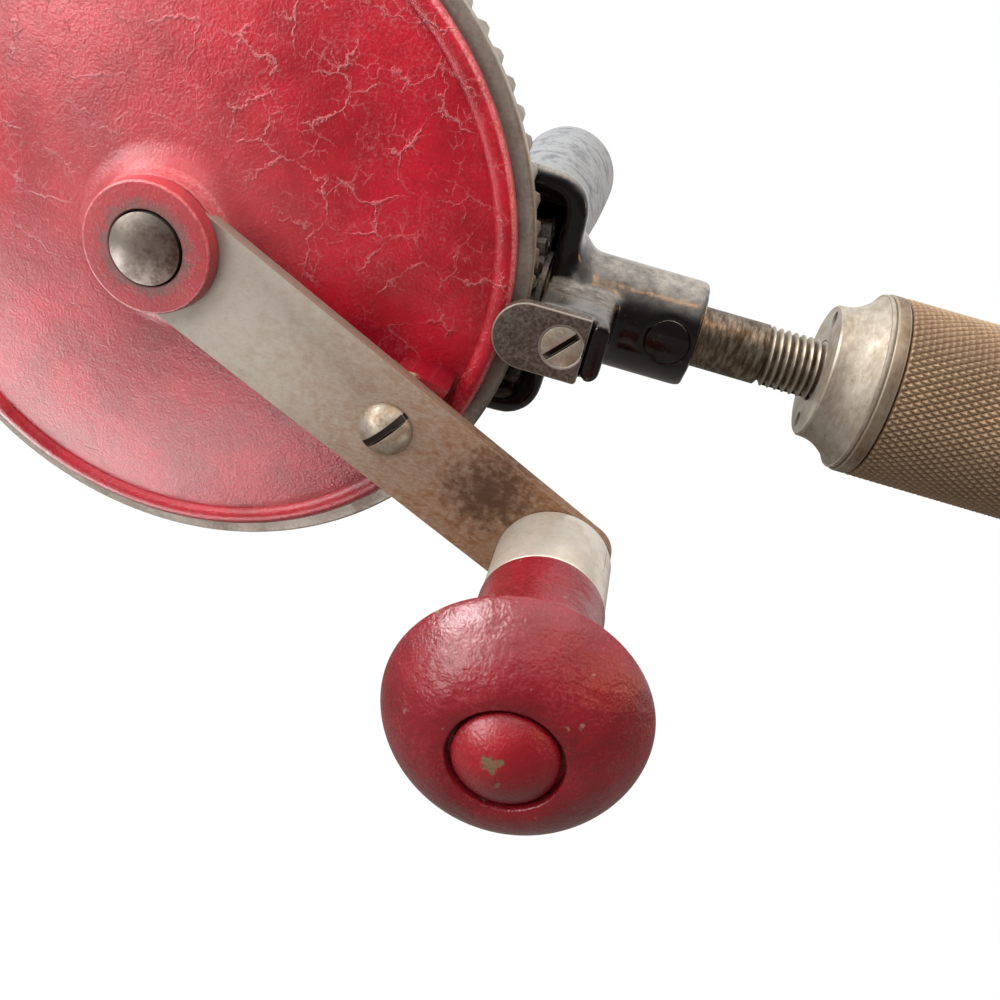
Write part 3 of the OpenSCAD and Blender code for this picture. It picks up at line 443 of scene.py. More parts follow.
@dataclass(frozen=True)
class PatinaMetal(Finish):
    """Bare metal with age: a brown skin, dark pits, slots darkened by dirt and painted shade, fine tool marks
    and bright worn edges, partly painted highlight on the knurl's points.
    """

    clean: str = "#9a948a"
    brown: str = "#76604e"
    dark: str = "#4a3a33"
    bright: str = "#c9c2b4"
    brown_share: float = 0.4
    pit_share: float = 0.5
    mottle_mm: float = 7.0
    mottle: float = 0.5
    metallic: float = 0.6
    roughness: float = 0.48
    grain: tuple[float, float, float] = (1.4, 1.4, 1.4)
    grain_turn: float = 0.0
    grain_mm: float = 0.02
    fade: tuple[float, float, float] = (0.0, 0.0, 0.0)
    fade_mm: tuple[float, float] = (0.0, 1.0)
    stain: tuple[float, float, float, float] = (0.0, 0.0, 0.0, 0.0)

    def dress(self, tree: Tree, point_mm: Socket) -> dict:
        """Draw patina, pits, tool marks and worn edges.

        Args:
            tree: The material's tree.
            point_mm: Object coordinates in millimetres.

        Returns:
            Inputs of the shader.
        """
        add = partial(add_node, tree)
        mottle = add(*NOISE, {"Vector": point_mm, "Scale": 1 / self.mottle_mm, "Detail": 6.0,
                              "Roughness": 0.62})[0]
        level = add(*RANGE, {"Value": mottle, "From Min": 0.3, "From Max": 0.7,
                             "To Min": -self.mottle, "To Max": self.mottle})[0]
        share = add(*ADD, {0: level, 1: self.brown_share})[0]
        if any(self.fade):
            along = add(*DOT_PRODUCT, {0: point_mm, 1: self.fade})["Value"]
            along = add(*RANGE, {"Value": along, "From Min": self.fade_mm[0], "From Max": self.fade_mm[1],
                                 "To Min": -0.45, "To Max": 0.5})[0]
            share = add(*ADD, {0: share, 1: along})[0]
        colour = add(*COLOUR_MIX, {0: share, 6: hex_rgba(self.clean), 7: hex_rgba(self.brown)})[2]
        turned = add("ShaderNodeMapping", {"vector_type": "POINT"},
                     {"Vector": point_mm, "Rotation": (0.0, math.radians(self.grain_turn), 0.0),
                      "Scale": self.grain})[0]
        marks = add(*NOISE, {"Vector": turned, "Scale": 1.0, "Detail": 4.0, "Roughness": 0.65})[0]
        streak = add(*RANGE, {"Value": marks, "From Min": 0.35, "From Max": 0.75, "To Max": 0.4})[0]
        colour = add(*COLOUR_MIX, {0: streak, 6: colour, 7: hex_rgba(self.bright)})[2]
        pits = self.patches(tree, point_mm, 1.1, 5.0, 0.55, 0.75, self.pit_share, 0.7)
        *middle, size = self.stain
        if size:
            near = add(*DISTANCE, {0: point_mm, 1: middle})["Value"]
            near = add(*MULTIPLY_ADD, {0: mottle, 1: -2.2 * size, 2: near})[0]
            near = add(*RANGE, {"Value": near, "From Min": 0.2 * size, "From Max": -0.9 * size,
                                "To Max": 0.85})[0]
            pits = add(*MAXIMUM, {0: pits, 1: near})[0]
        # Faces marked in the slot attribute get the dark colour: dirt, and painted shade in the recess.
        grime = add("ShaderNodeAttribute", {"attribute_name": "grime"})["Fac"]
        pits = add(*MAXIMUM, {0: pits, 1: grime})[0]
        colour = add(*COLOUR_MIX, {0: pits, 6: colour, 7: hex_rgba(self.dark)})[2]
        # Bright edges: wear, and on the knurl's points partly a painted highlight.
        worn = add(*MULTIPLY, {0: add(*EDGE)["Fac"], 1: 0.7})[0]
        colour = add(*COLOUR_MIX, {0: worn, 6: colour, 7: hex_rgba(self.bright)})[2]
        rough = add(*RANGE, {"Value": share, "To Min": self.roughness - 0.06,
                             "To Max": self.roughness + 0.12})[0]
        height = add(*MULTIPLY, {0: marks, 1: self.grain_mm})[0]
        height = add(*MULTIPLY_ADD, {0: pits, 1: -0.03, 2: height})[0]
        return {"Base Color": colour, "Metallic": self.metallic, "Roughness": rough,
                "Normal": self.relief(tree, height)}


@dataclass(frozen=True)
class StreakedPaint(Finish):
    """Paint on turned wood, drawn as grey that is partly painted sheen: a smoky marbling that flows round the
    handle, with a dull gloss.
    """

    # Light grey that is partly painted sheen on the paint.
    base: str = "#828485"
    streak: str = "#525458"
    dark: str = "#34363a"

    def dress(self, tree: Tree, point_mm: Socket) -> dict:
        """Draw two sizes of flowing streaks.

        Args:
            tree: The material's tree.
            point_mm: Object coordinates in millimetres.

        Returns:
            Inputs of the shader.
        """
        add = partial(add_node, tree)
        bent = add(*NOISE, {"Vector": point_mm, "Scale": 1 / 9, "Detail": 3.0})["Color"]
        flow = add(*VECTOR_MULTIPLY_ADD, {0: bent, 1: (16, 16, 16), 2: point_mm})[0]
        wide = self.patches(tree, flow, 5, 4.0, 0.45, 0.68, 0.8, 0.6)
        fine = self.patches(tree, flow, 1.6, 3.0, 0.55, 0.72, 0.6)
        colour = add(*COLOUR_MIX, {0: wide, 6: hex_rgba(self.base), 7: hex_rgba(self.streak)})[2]
        colour = add(*COLOUR_MIX, {0: fine, 6: colour, 7: hex_rgba(self.dark)})[2]
        height = add(*MULTIPLY, {0: fine, 1: -0.03})[0]
        rough = add(*RANGE, {"Value": wide, "To Min": 0.42, "To Max": 0.55})[0]
        return {"Base Color": colour, "Roughness": rough, "IOR": 1.5, "Normal": self.relief(tree, height)}


CRANK_DIR = (math.cos(math.radians(CRANK_ANGLE)), 0.0, -math.sin(math.radians(CRANK_ANGLE)))
CRANK_START = GEAR_X * CRANK_DIR[0]

# Wheel: bright red with pale cracks that are partly painted highlight and a painted shadow beside them, calmer
# and dusty near the hub, rubbed to the iron round the axle, with painted highlights on the hub's fillet and
# rolled edge.
GEAR_ENAMEL = OldEnamel("old_red_enamel_cracked", chip="#6a5a55", rub_r_mm=8.4, calm_r_mm=14.0)
# Pad under the arm: darker, grimy red with few cracks and one chip.
PAD_ENAMEL = OldEnamel("old_red_enamel_rubbed", base="#84101f", shade="#700c18", chip="#9a7f68",
                       crack_share=0.2, edge_wear_and_highlight=0.12, chip_at=(261.0, -37.0, -13.0, 1.6))
# Knob: dark red, lumpy from many coats and chipped by use.
KNOB_ENAMEL = OldEnamel("old_red_enamel_handled", base="#801821", shade="#6c1119", pale="#9c464a",
                        crack="#b0666a", chip="#8c6a58", crack_share=0.15, chip_share=0.75, ripple_mm=0.45,
                        roughness=0.32)
# Button: dark red with one large chip that shows brown iron.
BUTTON_ENAMEL = OldEnamel("old_red_enamel_chipped", base="#921a23", shade="#7c121b", pale="#9c464a",
                          crack="#b0666a", chip="#70543f", crack_share=0.0,
                          chip_at=(293.6, -103.2, -39.0, 2.0), roughness=0.32)
# Casting: deep black with sharp reflections, dulled by dust where it faces up.
FRAME_ENAMEL = GlossBlack("stoved_black_enamel")
# Arm: grey at the hub, rusty brown towards the knob, with a dark stain beside the ferrule.
ARM_STEEL = PatinaMetal("forged_steel_arm", clean="#a0978c", brown="#875a38", dark="#4a3224",
                        bright="#b0a596", brown_share=0.42, pit_share=0.2, roughness=0.5, mottle_mm=1.8,
                        mottle=0.14, grain=(0.9, 2.2, 2.2), grain_turn=-CRANK_ANGLE, fade=CRANK_DIR,
                        fade_mm=(CRANK_START + 10, CRANK_START + 82), stain=(280.0, -40.3, -28.5, 9.0))
# Rim's face: dull grey-brown.
RIM_STEEL = PatinaMetal("turned_steel_rim", clean="#857b72", brown="#695c53", dark="#3f352f",
                        bright="#a0968b", brown_share=0.5, pit_share=0.3)
# Teeth and the wall above them: lighter grey, rubbed by the pinion.
TOOTH_STEEL = PatinaMetal("cut_steel_teeth", clean="#9c948a", brown="#81756a", dark="#544a41",
                          brown_share=0.45, pit_share=0.4)
# Axle's end: grey at the upper left, going to dark brown at the lower right, partly rust and partly painted
# shade.
AXLE_STEEL = PatinaMetal("riveted_steel_axle", clean="#6f675f", brown="#3c241b", dark="#2c1e19",
                         bright="#766b61", brown_share=0.5, pit_share=0.5, mottle_mm=5.0, roughness=0.4,
                         fade=(1.0, 0.0, -0.3), fade_mm=(GEAR_X - 6, GEAR_X + 5))
# Screws: light heads with a soft shine and dark slots, with dirt and painted shade in them.
SCREW_STEEL = PatinaMetal("turned_steel_screw", clean="#aaa193", brown="#8a7054", dark="#2c2018",
                          bright="#cfc6b6", brown_share=0.4, mottle_mm=3.5, pit_share=0.4, roughness=0.38)
# Keeper: dark brown skin with pale worn edges.
KEEPER_STEEL = PatinaMetal("browned_steel_plate", clean="#5d5049", brown="#46372f", dark="#2f2520",
                           bright="#a39a90", brown_share=0.6, pit_share=0.3, mottle_mm=3.0, mottle=0.4)
# Spindle: dark brown and shiny, with bright crests on the thread.
SPINDLE_STEEL = PatinaMetal("browned_steel_shaft", clean="#594937", brown="#3e2c1c", dark="#1f1610",
                            bright="#c2b7a6", brown_share=0.55, pit_share=0.5, mottle_mm=9.0, metallic=0.8,
                            roughness=0.34, grain=(1.2, 0.3, 0.3))
# Chuck's body: pale matt grey with tan patches and fine turning marks.
CHUCK_STEEL = PatinaMetal("turned_steel_chuck", clean="#aaa194", brown="#85755f", dark="#4d4136",
                          brown_share=0.4, pit_share=0.5, mottle_mm=5.0, mottle=0.35, metallic=0.6,
                          roughness=0.52, grain=(1.5, 0.4, 0.4))
# Chuck's ring: tan brown with fine turning marks.
RING_STEEL = PatinaMetal("browned_steel_ring", clean="#948878", brown="#6f5a44", dark="#463626",
                         bright="#a09482", brown_share=0.55, pit_share=0.4, grain=(1.2, 0.3, 0.3))
# Knurl: warm brown with pale points, worn by hands and partly a painted highlight on the crests.
KNURL_STEEL = PatinaMetal("knurled_brown_steel", clean="#7d624a", brown="#664b36", dark="#3a281c",
                          bright="#b9a184", brown_share=0.5, pit_share=0.4, mottle_mm=12.0, roughness=0.42)
# Rod, pins, jaws and inner pieces: plain grey with a thin brown skin.
PLAIN_STEEL = PatinaMetal("plain_turned_steel", clean="#857e75", brown="#66564a", brown_share=0.4,
                          pit_share=0.4)
# Pinion: grey with dark oil in the gaps.
PINION_STEEL = PatinaMetal("oiled_steel_pinion", clean="#8a837a", brown="#5a4d42", dark="#2b2420",
                           brown_share=0.5, pit_share=0.6)
# Ferrule: pale and nearly clean.
FERRULE_STEEL = PatinaMetal("polished_steel_ferrule", clean="#cdc6b9", brown="#b3a693", dark="#86796a",
                            bright="#dcd6ca", brown_share=0.25, pit_share=0.25, roughness=0.4,
                            mottle_mm=5.0)
# Bearing balls: bright and smooth.
BALL_STEEL = PatinaMetal("ground_steel_balls", clean="#d0cbc2", brown="#b0a697", brown_share=0.1,
                         pit_share=0.1, roughness=0.2)
# Bushes: yellow-brown metal darkened by oil.
BUSH_BRONZE = PatinaMetal("oiled_bronze", clean="#a8834e", brown="#7d5b33", dark="#4a3520",
                          bright="#caa873", brown_share=0.45, pit_share=0.4, roughness=0.38)
# Side handle: smoky grey marbling, whose grey is partly painted sheen.
HANDLE_PAINT = StreakedPaint("grey_marbling_with_painted_sheen")


def lathe(profile: Profile, steps: int = 128, closed: bool = False, rise: float = 0.0) -> Mesh:
    """Turn a half section round Z.

    Args:
        profile: Radius and height of each point.
        steps: Faces in one turn.
        closed: Whether the last point joins the first.
        rise: Height gained in one turn, for a thread.

    Returns:
        The turned mesh.
    """
    bm = bmesh.new()
    points = [bm.verts.new((r, 0.0, z)) for r, z in profile]
    pairs = list(zip(points, points[1:])) + ([(points[-1], points[0])] if closed else [])
    edges = [bm.edges.new(pair) for pair in pairs]
    bmesh.ops.spin(bm, geom=points + edges, axis=(0, 0, 1), cent=(0, 0, 0), dvec=(0, 0, rise / steps),
                   angle=math.tau, steps=steps, use_merge=rise == 0)
    bmesh.ops.remove_doubles(bm, verts=bm.verts, dist=1e-4)
    bmesh.ops.recalc_face_normals(bm, faces=bm.faces)
    return bm


def arc(centre: tuple[float, float], radius: float, start: float, end: float,
        steps: int = 6) -> list[tuple[float, float]]:
    """Points of a circular arc in a half section.

    Args:
        centre: Radius and height of the arc's centre.
        radius: The arc's own radius.
        start: First angle in degrees from the radial direction.
        end: Last angle.
        steps: Number of pieces.

    Returns:
        The points from start to end.
    """
    turn = [math.radians(start + (end - start) * i / steps) for i in range(steps + 1)]
    return [(centre[0] + radius * math.cos(a), centre[1] + radius * math.sin(a)) for a in turn]


def slab(outline: Profile, z0: float, z1: float, corners: dict[int, float] | None = None) -> Mesh:
    """Extrude a flat outline.

    Args:
        outline: Corner points in order.
        z0: Height of the lower face.
        z1: Height of the upper face.
        corners: Radius for each rounded corner, by its number.

    Returns:
        A closed solid.
    """
    bm = bmesh.new()
    points = [bm.verts.new((x, y, z0)) for x, y in outline]
    bm.faces.new(points)
    for number, radius in (corners or {}).items():
        bmesh.ops.bevel(bm, geom=[points[number]], affect="VERTICES", offset=radius, offset_type="OFFSET",
                        segments=12, profile=0.5, material=-1)
    raised = bmesh.ops.extrude_face_region(bm, geom=bm.faces[:])["geom"]
    moved = [v for v in raised if isinstance(v, bmesh.types.BMVert)]
    bmesh.ops.translate(bm, vec=(0, 0, z1 - z0), verts=moved)
    bmesh.ops.recalc_face_normals(bm, faces=bm.faces)
    return bm


def round_edges(bm: Mesh, width: float, segments: int = 2, angle: float = 35.0, worn: bool = True) -> Mesh:
    """Round the sharp edges and mark the new faces.

    Args:
        bm: The mesh, which is changed.
        width: Width of the rounding.
        segments: Faces across it.
        angle: Angle in degrees from which an edge counts as sharp.
        worn: Whether the finish shows the new faces as pale, worn edges.

    Returns:
        The same mesh.
    """
    layer = bm.faces.layers.float.get("edge") or bm.faces.layers.float.new("edge")
    sharp = [e for e in bm.edges if e.is_manifold and e.calc_face_angle() > math.radians(angle)]
    made = bmesh.ops.bevel(bm, geom=sharp, affect="EDGES", offset=width, offset_type="OFFSET",
                           segments=segments, profile=0.5, material=-1, clamp_overlap=True)
    for face in made["faces"]:
        face[layer] = 1.0 if worn else 0.0
    return bm


def bake(bm: Mesh, kind: str, settings: dict, cutter: Mesh | None = None) -> Mesh:
    """Run one modifier on a mesh and keep its result.

    Args:
        bm: The mesh, which is used up.
        kind: Blender's name of the modifier.
        settings: Attributes of the modifier.
        cutter: A second mesh for a Boolean, used up too.

    Returns:
        The changed mesh.
    """
    made = []
    for part in [bm] + ([cutter] if cutter else []):
        mesh = bpy.data.meshes.new("work")
        part.to_mesh(mesh)
        part.free()
        made.append(bpy.data.objects.new("work", mesh))
        bpy.context.scene.collection.objects.link(made[-1])
    modifier = made[0].modifiers.new("work", kind)
    for key, value in settings.items():
        setattr(modifier, key, value)
    if cutter:
        modifier.object = made[1]
    shown = made[0].evaluated_get(bpy.context.evaluated_depsgraph_get())
    result = bmesh.new()
    result.from_mesh(shown.to_mesh())
    for thing in made:
        bpy.data.objects.remove(thing)
    return result


def carve(bm: Mesh, cutter: Mesh) -> Mesh:
    """Cut one solid out of another."""
    return bake(bm, "BOOLEAN", {"operation": "DIFFERENCE", "solver": "EXACT"}, cutter)


def box_mesh(size: tuple[float, float, float], place: Matrix) -> Mesh:
    """A block, used as a cutter.

    Args:
        size: Lengths of its sides.
        place: Where its middle goes.

    Returns:
        The block.
    """
    bm = bmesh.new()
    bmesh.ops.create_cube(bm, size=1.0, matrix=place @ Matrix.Diagonal((*size, 1.0)))
    return bm


def rod_mesh(radius: float, length: float, place: Matrix) -> Mesh:
    """A rod along Z, used as a cutter.

    Args:
        radius: Its radius.
        length: Its length.
        place: Where its middle goes.

    Returns:
        The rod.
    """
    bm = bmesh.new()
    bmesh.ops.create_cone(bm, cap_ends=True, segments=48, radius1=radius, radius2=radius, depth=length,
                          matrix=place)
    return bm


def darken_slot(bm: Mesh, half: float) -> Mesh:
    """Mark the faces of a driver slot along X for the dark slot colour: dirt and painted shade.

    Args:
        bm: The screw, which is changed.
        half: Half the slot's width.

    Returns:
        The same mesh.
    """
    layer = bm.faces.layers.float.new("grime")
    for face in bm.faces:
        face[layer] = float(abs(face.calc_center_median().y) < half + 0.01)
    return bm


def joined(parts: Iterable[Mesh]) -> Mesh:
    """Put several meshes into one.

    Args:
        parts: The meshes, which are used up.

    Returns:
        One mesh.
    """
    whole = bmesh.new()
    for part in parts:
        mesh = bpy.data.meshes.new("work")
        part.to_mesh(mesh)
        part.free()
        whole.from_mesh(mesh)
        bpy.data.meshes.remove(mesh)
    return whole


def cad_copy(node: str) -> Mesh:
    """Copy a CAD node's mesh and merge its points.

    Args:
        node: Name of the node.

    Returns:
        The copy, in metres.
    """
    bm = bmesh.new()
    bm.from_mesh(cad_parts[node].data)
    bmesh.ops.remove_doubles(bm, verts=bm.verts, dist=1e-6)
    return bm


def finish_piece(name: str, bm: Mesh, place: Matrix, finish: Finish, body: Body,
                 nodes: Sequence[str] = (), crease: float = 38.0) -> None:
    """Make a piece of the object from a mesh.

    Args:
        name: Name of the piece.
        bm: Its mesh, which is used up.
        place: Matrix to the part's frame, in metres.
        finish: Its surface.
        body: The body that it moves with.
        nodes: CAD nodes that it stands for.
        crease: Angle in degrees from which an edge is shaded sharp.
    """
    bmesh.ops.transform(bm, matrix=place, verts=bm.verts)
    mesh = bpy.data.meshes.new(name)
    bm.to_mesh(mesh)
    bm.free()
    mesh.shade_smooth()
    mesh.set_sharp_from_angle(angle=math.radians(crease))
    mesh.materials.append(finish.material())
    piece = bpy.data.objects.new(name, mesh)
    bpy.context.scene.collection.objects.link(piece)
    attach(piece, body.value)
    if nodes:
        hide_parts(*nodes)
    LOG.info("%s: %d faces on %s", name, len(mesh.polygons), body.value)


@dataclass
class GearWheel:
    """Domed gear wheel with its hub, steel rim, teeth and the pad under the arm."""

    pitch_r: float = 66.3
    pitch_z: float = 13.6
    teeth: int = 78
    module: float = 1.7
    small_end: float = 0.8375
    rim_front: float = 23.7
    rim_back: float = 16.9
    rim_inner_r: float = 53.0
    paint_r: float = 63.7
    roll_r: float = 59.3
    cone: float = 0.6
    flare: float = 0.35
    dome_r: float = 213.0
    dome_top: float = 34.55
    web_t: float = 6.0
    hub_r: float = 11.9
    hub_back: float = 19.5
    bore_r: float = 6.85
    fillet: float = 6.0
    tooth_play: float = 0.15
    pressure_angle: float = 20.0
    pad_x: float = 52.4
    pad_half: float = 5.2
    pad_low: float = -10.0
    pad_high: float = 12.4
    pad_left_high: float = 9.0

    def dome_z(self, radius: float) -> float:
        """Height of the dome at a radius."""
        return self.dome_top - self.dome_r + math.sqrt(self.dome_r ** 2 - radius ** 2)

    def disc(self) -> Mesh:
        """Painted wheel: flared hub flange, groove, fillet, dome and rolled edge, with the hollow back.

        Returns:
            The mesh in its own frame, in millimetres.
        """
        neck_r = self.hub_r - 0.5
        ring_r = self.hub_r + 0.3
        foot_r = ring_r + self.fillet
        foot_z = self.dome_z(foot_r)
        under = ARM_FRONT - 0.05
        step = under - 0.9
        hub = [(self.bore_r, self.hub_back), (self.bore_r, HUB_FRONT - 0.2), (self.bore_r + 0.2, HUB_FRONT)]
        hub += arc((self.hub_r - 0.5, HUB_FRONT - 0.5), 0.5, 90, 5, 5)
        flare_r = self.hub_r + self.flare
        hub += [(flare_r, under + 0.3), (flare_r - 0.3, under), (neck_r, under)]
        hub += [(neck_r, step), (ring_r - 0.3, step)]
        root = [(foot_r - self.fillet * math.cos(a), foot_z + (step - 0.3 - foot_z) * (1 - math.sin(a)))
                for a in (math.radians(6 * i) for i in range(16))]
        span = self.roll_r - foot_r
        dome = [(foot_r + span * i / 48, self.dome_z(foot_r + span * i / 48)) for i in range(1, 49)]
        bead_r = (self.paint_r - self.roll_r) / 2
        roll = arc((self.roll_r + bead_r, self.dome_z(self.roll_r) - bead_r + 0.8), bead_r, 148, 0, 14)
        back_end = self.rim_inner_r + 0.2
        back = [(self.paint_r, self.rim_front - 3), (back_end, self.dome_z(back_end) - self.web_t + 0.4)]
        back += [(r, self.dome_z(r) - self.web_t)
                 for r in (back_end - (back_end - self.hub_r) * i / 24 for i in range(25))]
        back += [(self.hub_r, self.hub_back)]
        bm = lathe(hub + root + dome[:-1] + roll + back, 192, closed=True)
        layer = bm.verts.layers.float.new("edge")
        for vert in bm.verts:
            r = math.hypot(vert.co.x, vert.co.y)
            if vert.co.z > HUB_FRONT - 0.45 and r > self.hub_r - 0.4:
                vert[layer] = 0.5
            # Hub fillet: a painted highlight through the edge attribute.
            elif ring_r - 0.1 < r < ring_r + 0.9 and foot_z < vert.co.z < under:
                vert[layer] = 0.45
            # Outer rolled edge: a pale line that is a painted highlight.
            elif r > self.paint_r - 0.6 and vert.co.z > self.rim_front - 0.4:
                vert[layer] = 0.8
        return bm

    def rim(self) -> Mesh:
        """Flat turned face of the rim.

        Returns:
            The mesh in its own frame, in millimetres.
        """
        low = self.rim_front - 1.6
        outline = [(self.paint_r - 0.1, low), (self.paint_r - 0.1, self.rim_front)]
        outer = self.pitch_r + self.cone - 0.1
        outline += [(outer - 0.4, self.rim_front), (outer, self.rim_front - 0.4), (outer, low)]
        return lathe(outline, 192, closed=True)

    def wall(self) -> Mesh:
        """Outer wall and back of the rim, down to the gaps of the teeth.

        Returns:
            The mesh in its own frame, in millimetres.
        """
        inner = self.dome_z(self.rim_inner_r) - self.web_t + 0.6
        top = self.rim_front - 0.75
        outer = self.pitch_r + self.cone
        outline = [(self.paint_r - 1.0, top), (outer - 0.2, top), (outer, top - 0.25)]
        outline += [(self.pitch_r, self.rim_back), (self.rim_inner_r, self.rim_back)]
        outline += [(self.rim_inner_r, inner)]
        return lathe(outline, 192, closed=True)

    def tooth_ring(self) -> Mesh:
        """Bevel teeth, each drawn towards the tip of the pitch cone.

        Returns:
            The mesh in its own frame, in millimetres.
        """
        cone = math.atan2(self.pitch_z, self.pitch_r)
        high, low = 0.8 * self.module, -self.module
        half = (math.pi * self.module / 2 - self.tooth_play) / 2
        lean = math.tan(math.radians(self.pressure_angle))
        bm = bmesh.new()
        sides = [(-half + low * lean, low), (-half + high * lean, high), (half - high * lean, high),
                 (half - low * lean, low)]
        face = [bm.verts.new((self.pitch_r + h * math.sin(cone), s, self.pitch_z - h * math.cos(cone)))
                for s, h in sides]
        root = [bm.verts.new((v.co.x, v.co.y, self.rim_back + 1.0)) for v in (face[3], face[0])]
        end = bm.faces.new(face + root)
        grown = bmesh.ops.extrude_face_region(bm, geom=[end])["geom"]
        moved = [v for v in grown if isinstance(v, bmesh.types.BMVert)]
        for vert in moved:
            top = vert.co.z > self.rim_back
            vert.co *= self.small_end
            if top:
                vert.co.z = self.rim_back + 1.0
        bmesh.ops.recalc_face_normals(bm, faces=bm.faces)
        round_edges(bm, 0.3, 2, 50.0)
        more = self.teeth - 1
        bmesh.ops.spin(bm, geom=bm.verts[:] + bm.edges[:] + bm.faces[:], axis=(0, 0, 1), cent=(0, 0, 0),
                       angle=math.tau * more / self.teeth, steps=more, use_duplicate=True)
        return bm

    def pad(self) -> Mesh:
        """Cast pad under the arm's screw.

        Returns:
            The mesh in its own frame, in millimetres.
        """
        left, right = self.pad_x - self.pad_half, self.pad_x + self.pad_half
        outline = [(left, self.pad_low), (right, self.pad_low), (right, self.pad_high)]
        outline += [(self.pad_x, self.pad_high), (left, self.pad_left_high)]
        bm = slab(outline, self.rim_front, ARM_BACK - 0.02, {2: 0.8, 3: 5.0})
        return round_edges(bm, 0.7, 4)

    def build(self) -> None:
        """Make the wheel's pieces."""
        wheel = Place.GEAR.world()
        finish_piece("gear_disc", self.disc(), wheel, GEAR_ENAMEL, Body.CRANK, ["drive_gear"])
        finish_piece("gear_rim", self.rim(), wheel, RIM_STEEL, Body.CRANK)
        finish_piece("gear_wall", self.wall(), wheel, TOOTH_STEEL, Body.CRANK)
        finish_piece("gear_teeth", self.tooth_ring(), wheel, TOOTH_STEEL, Body.CRANK)
        finish_piece("arm_pad", self.pad(), Place.CRANK.world(), PAD_ENAMEL, Body.CRANK)


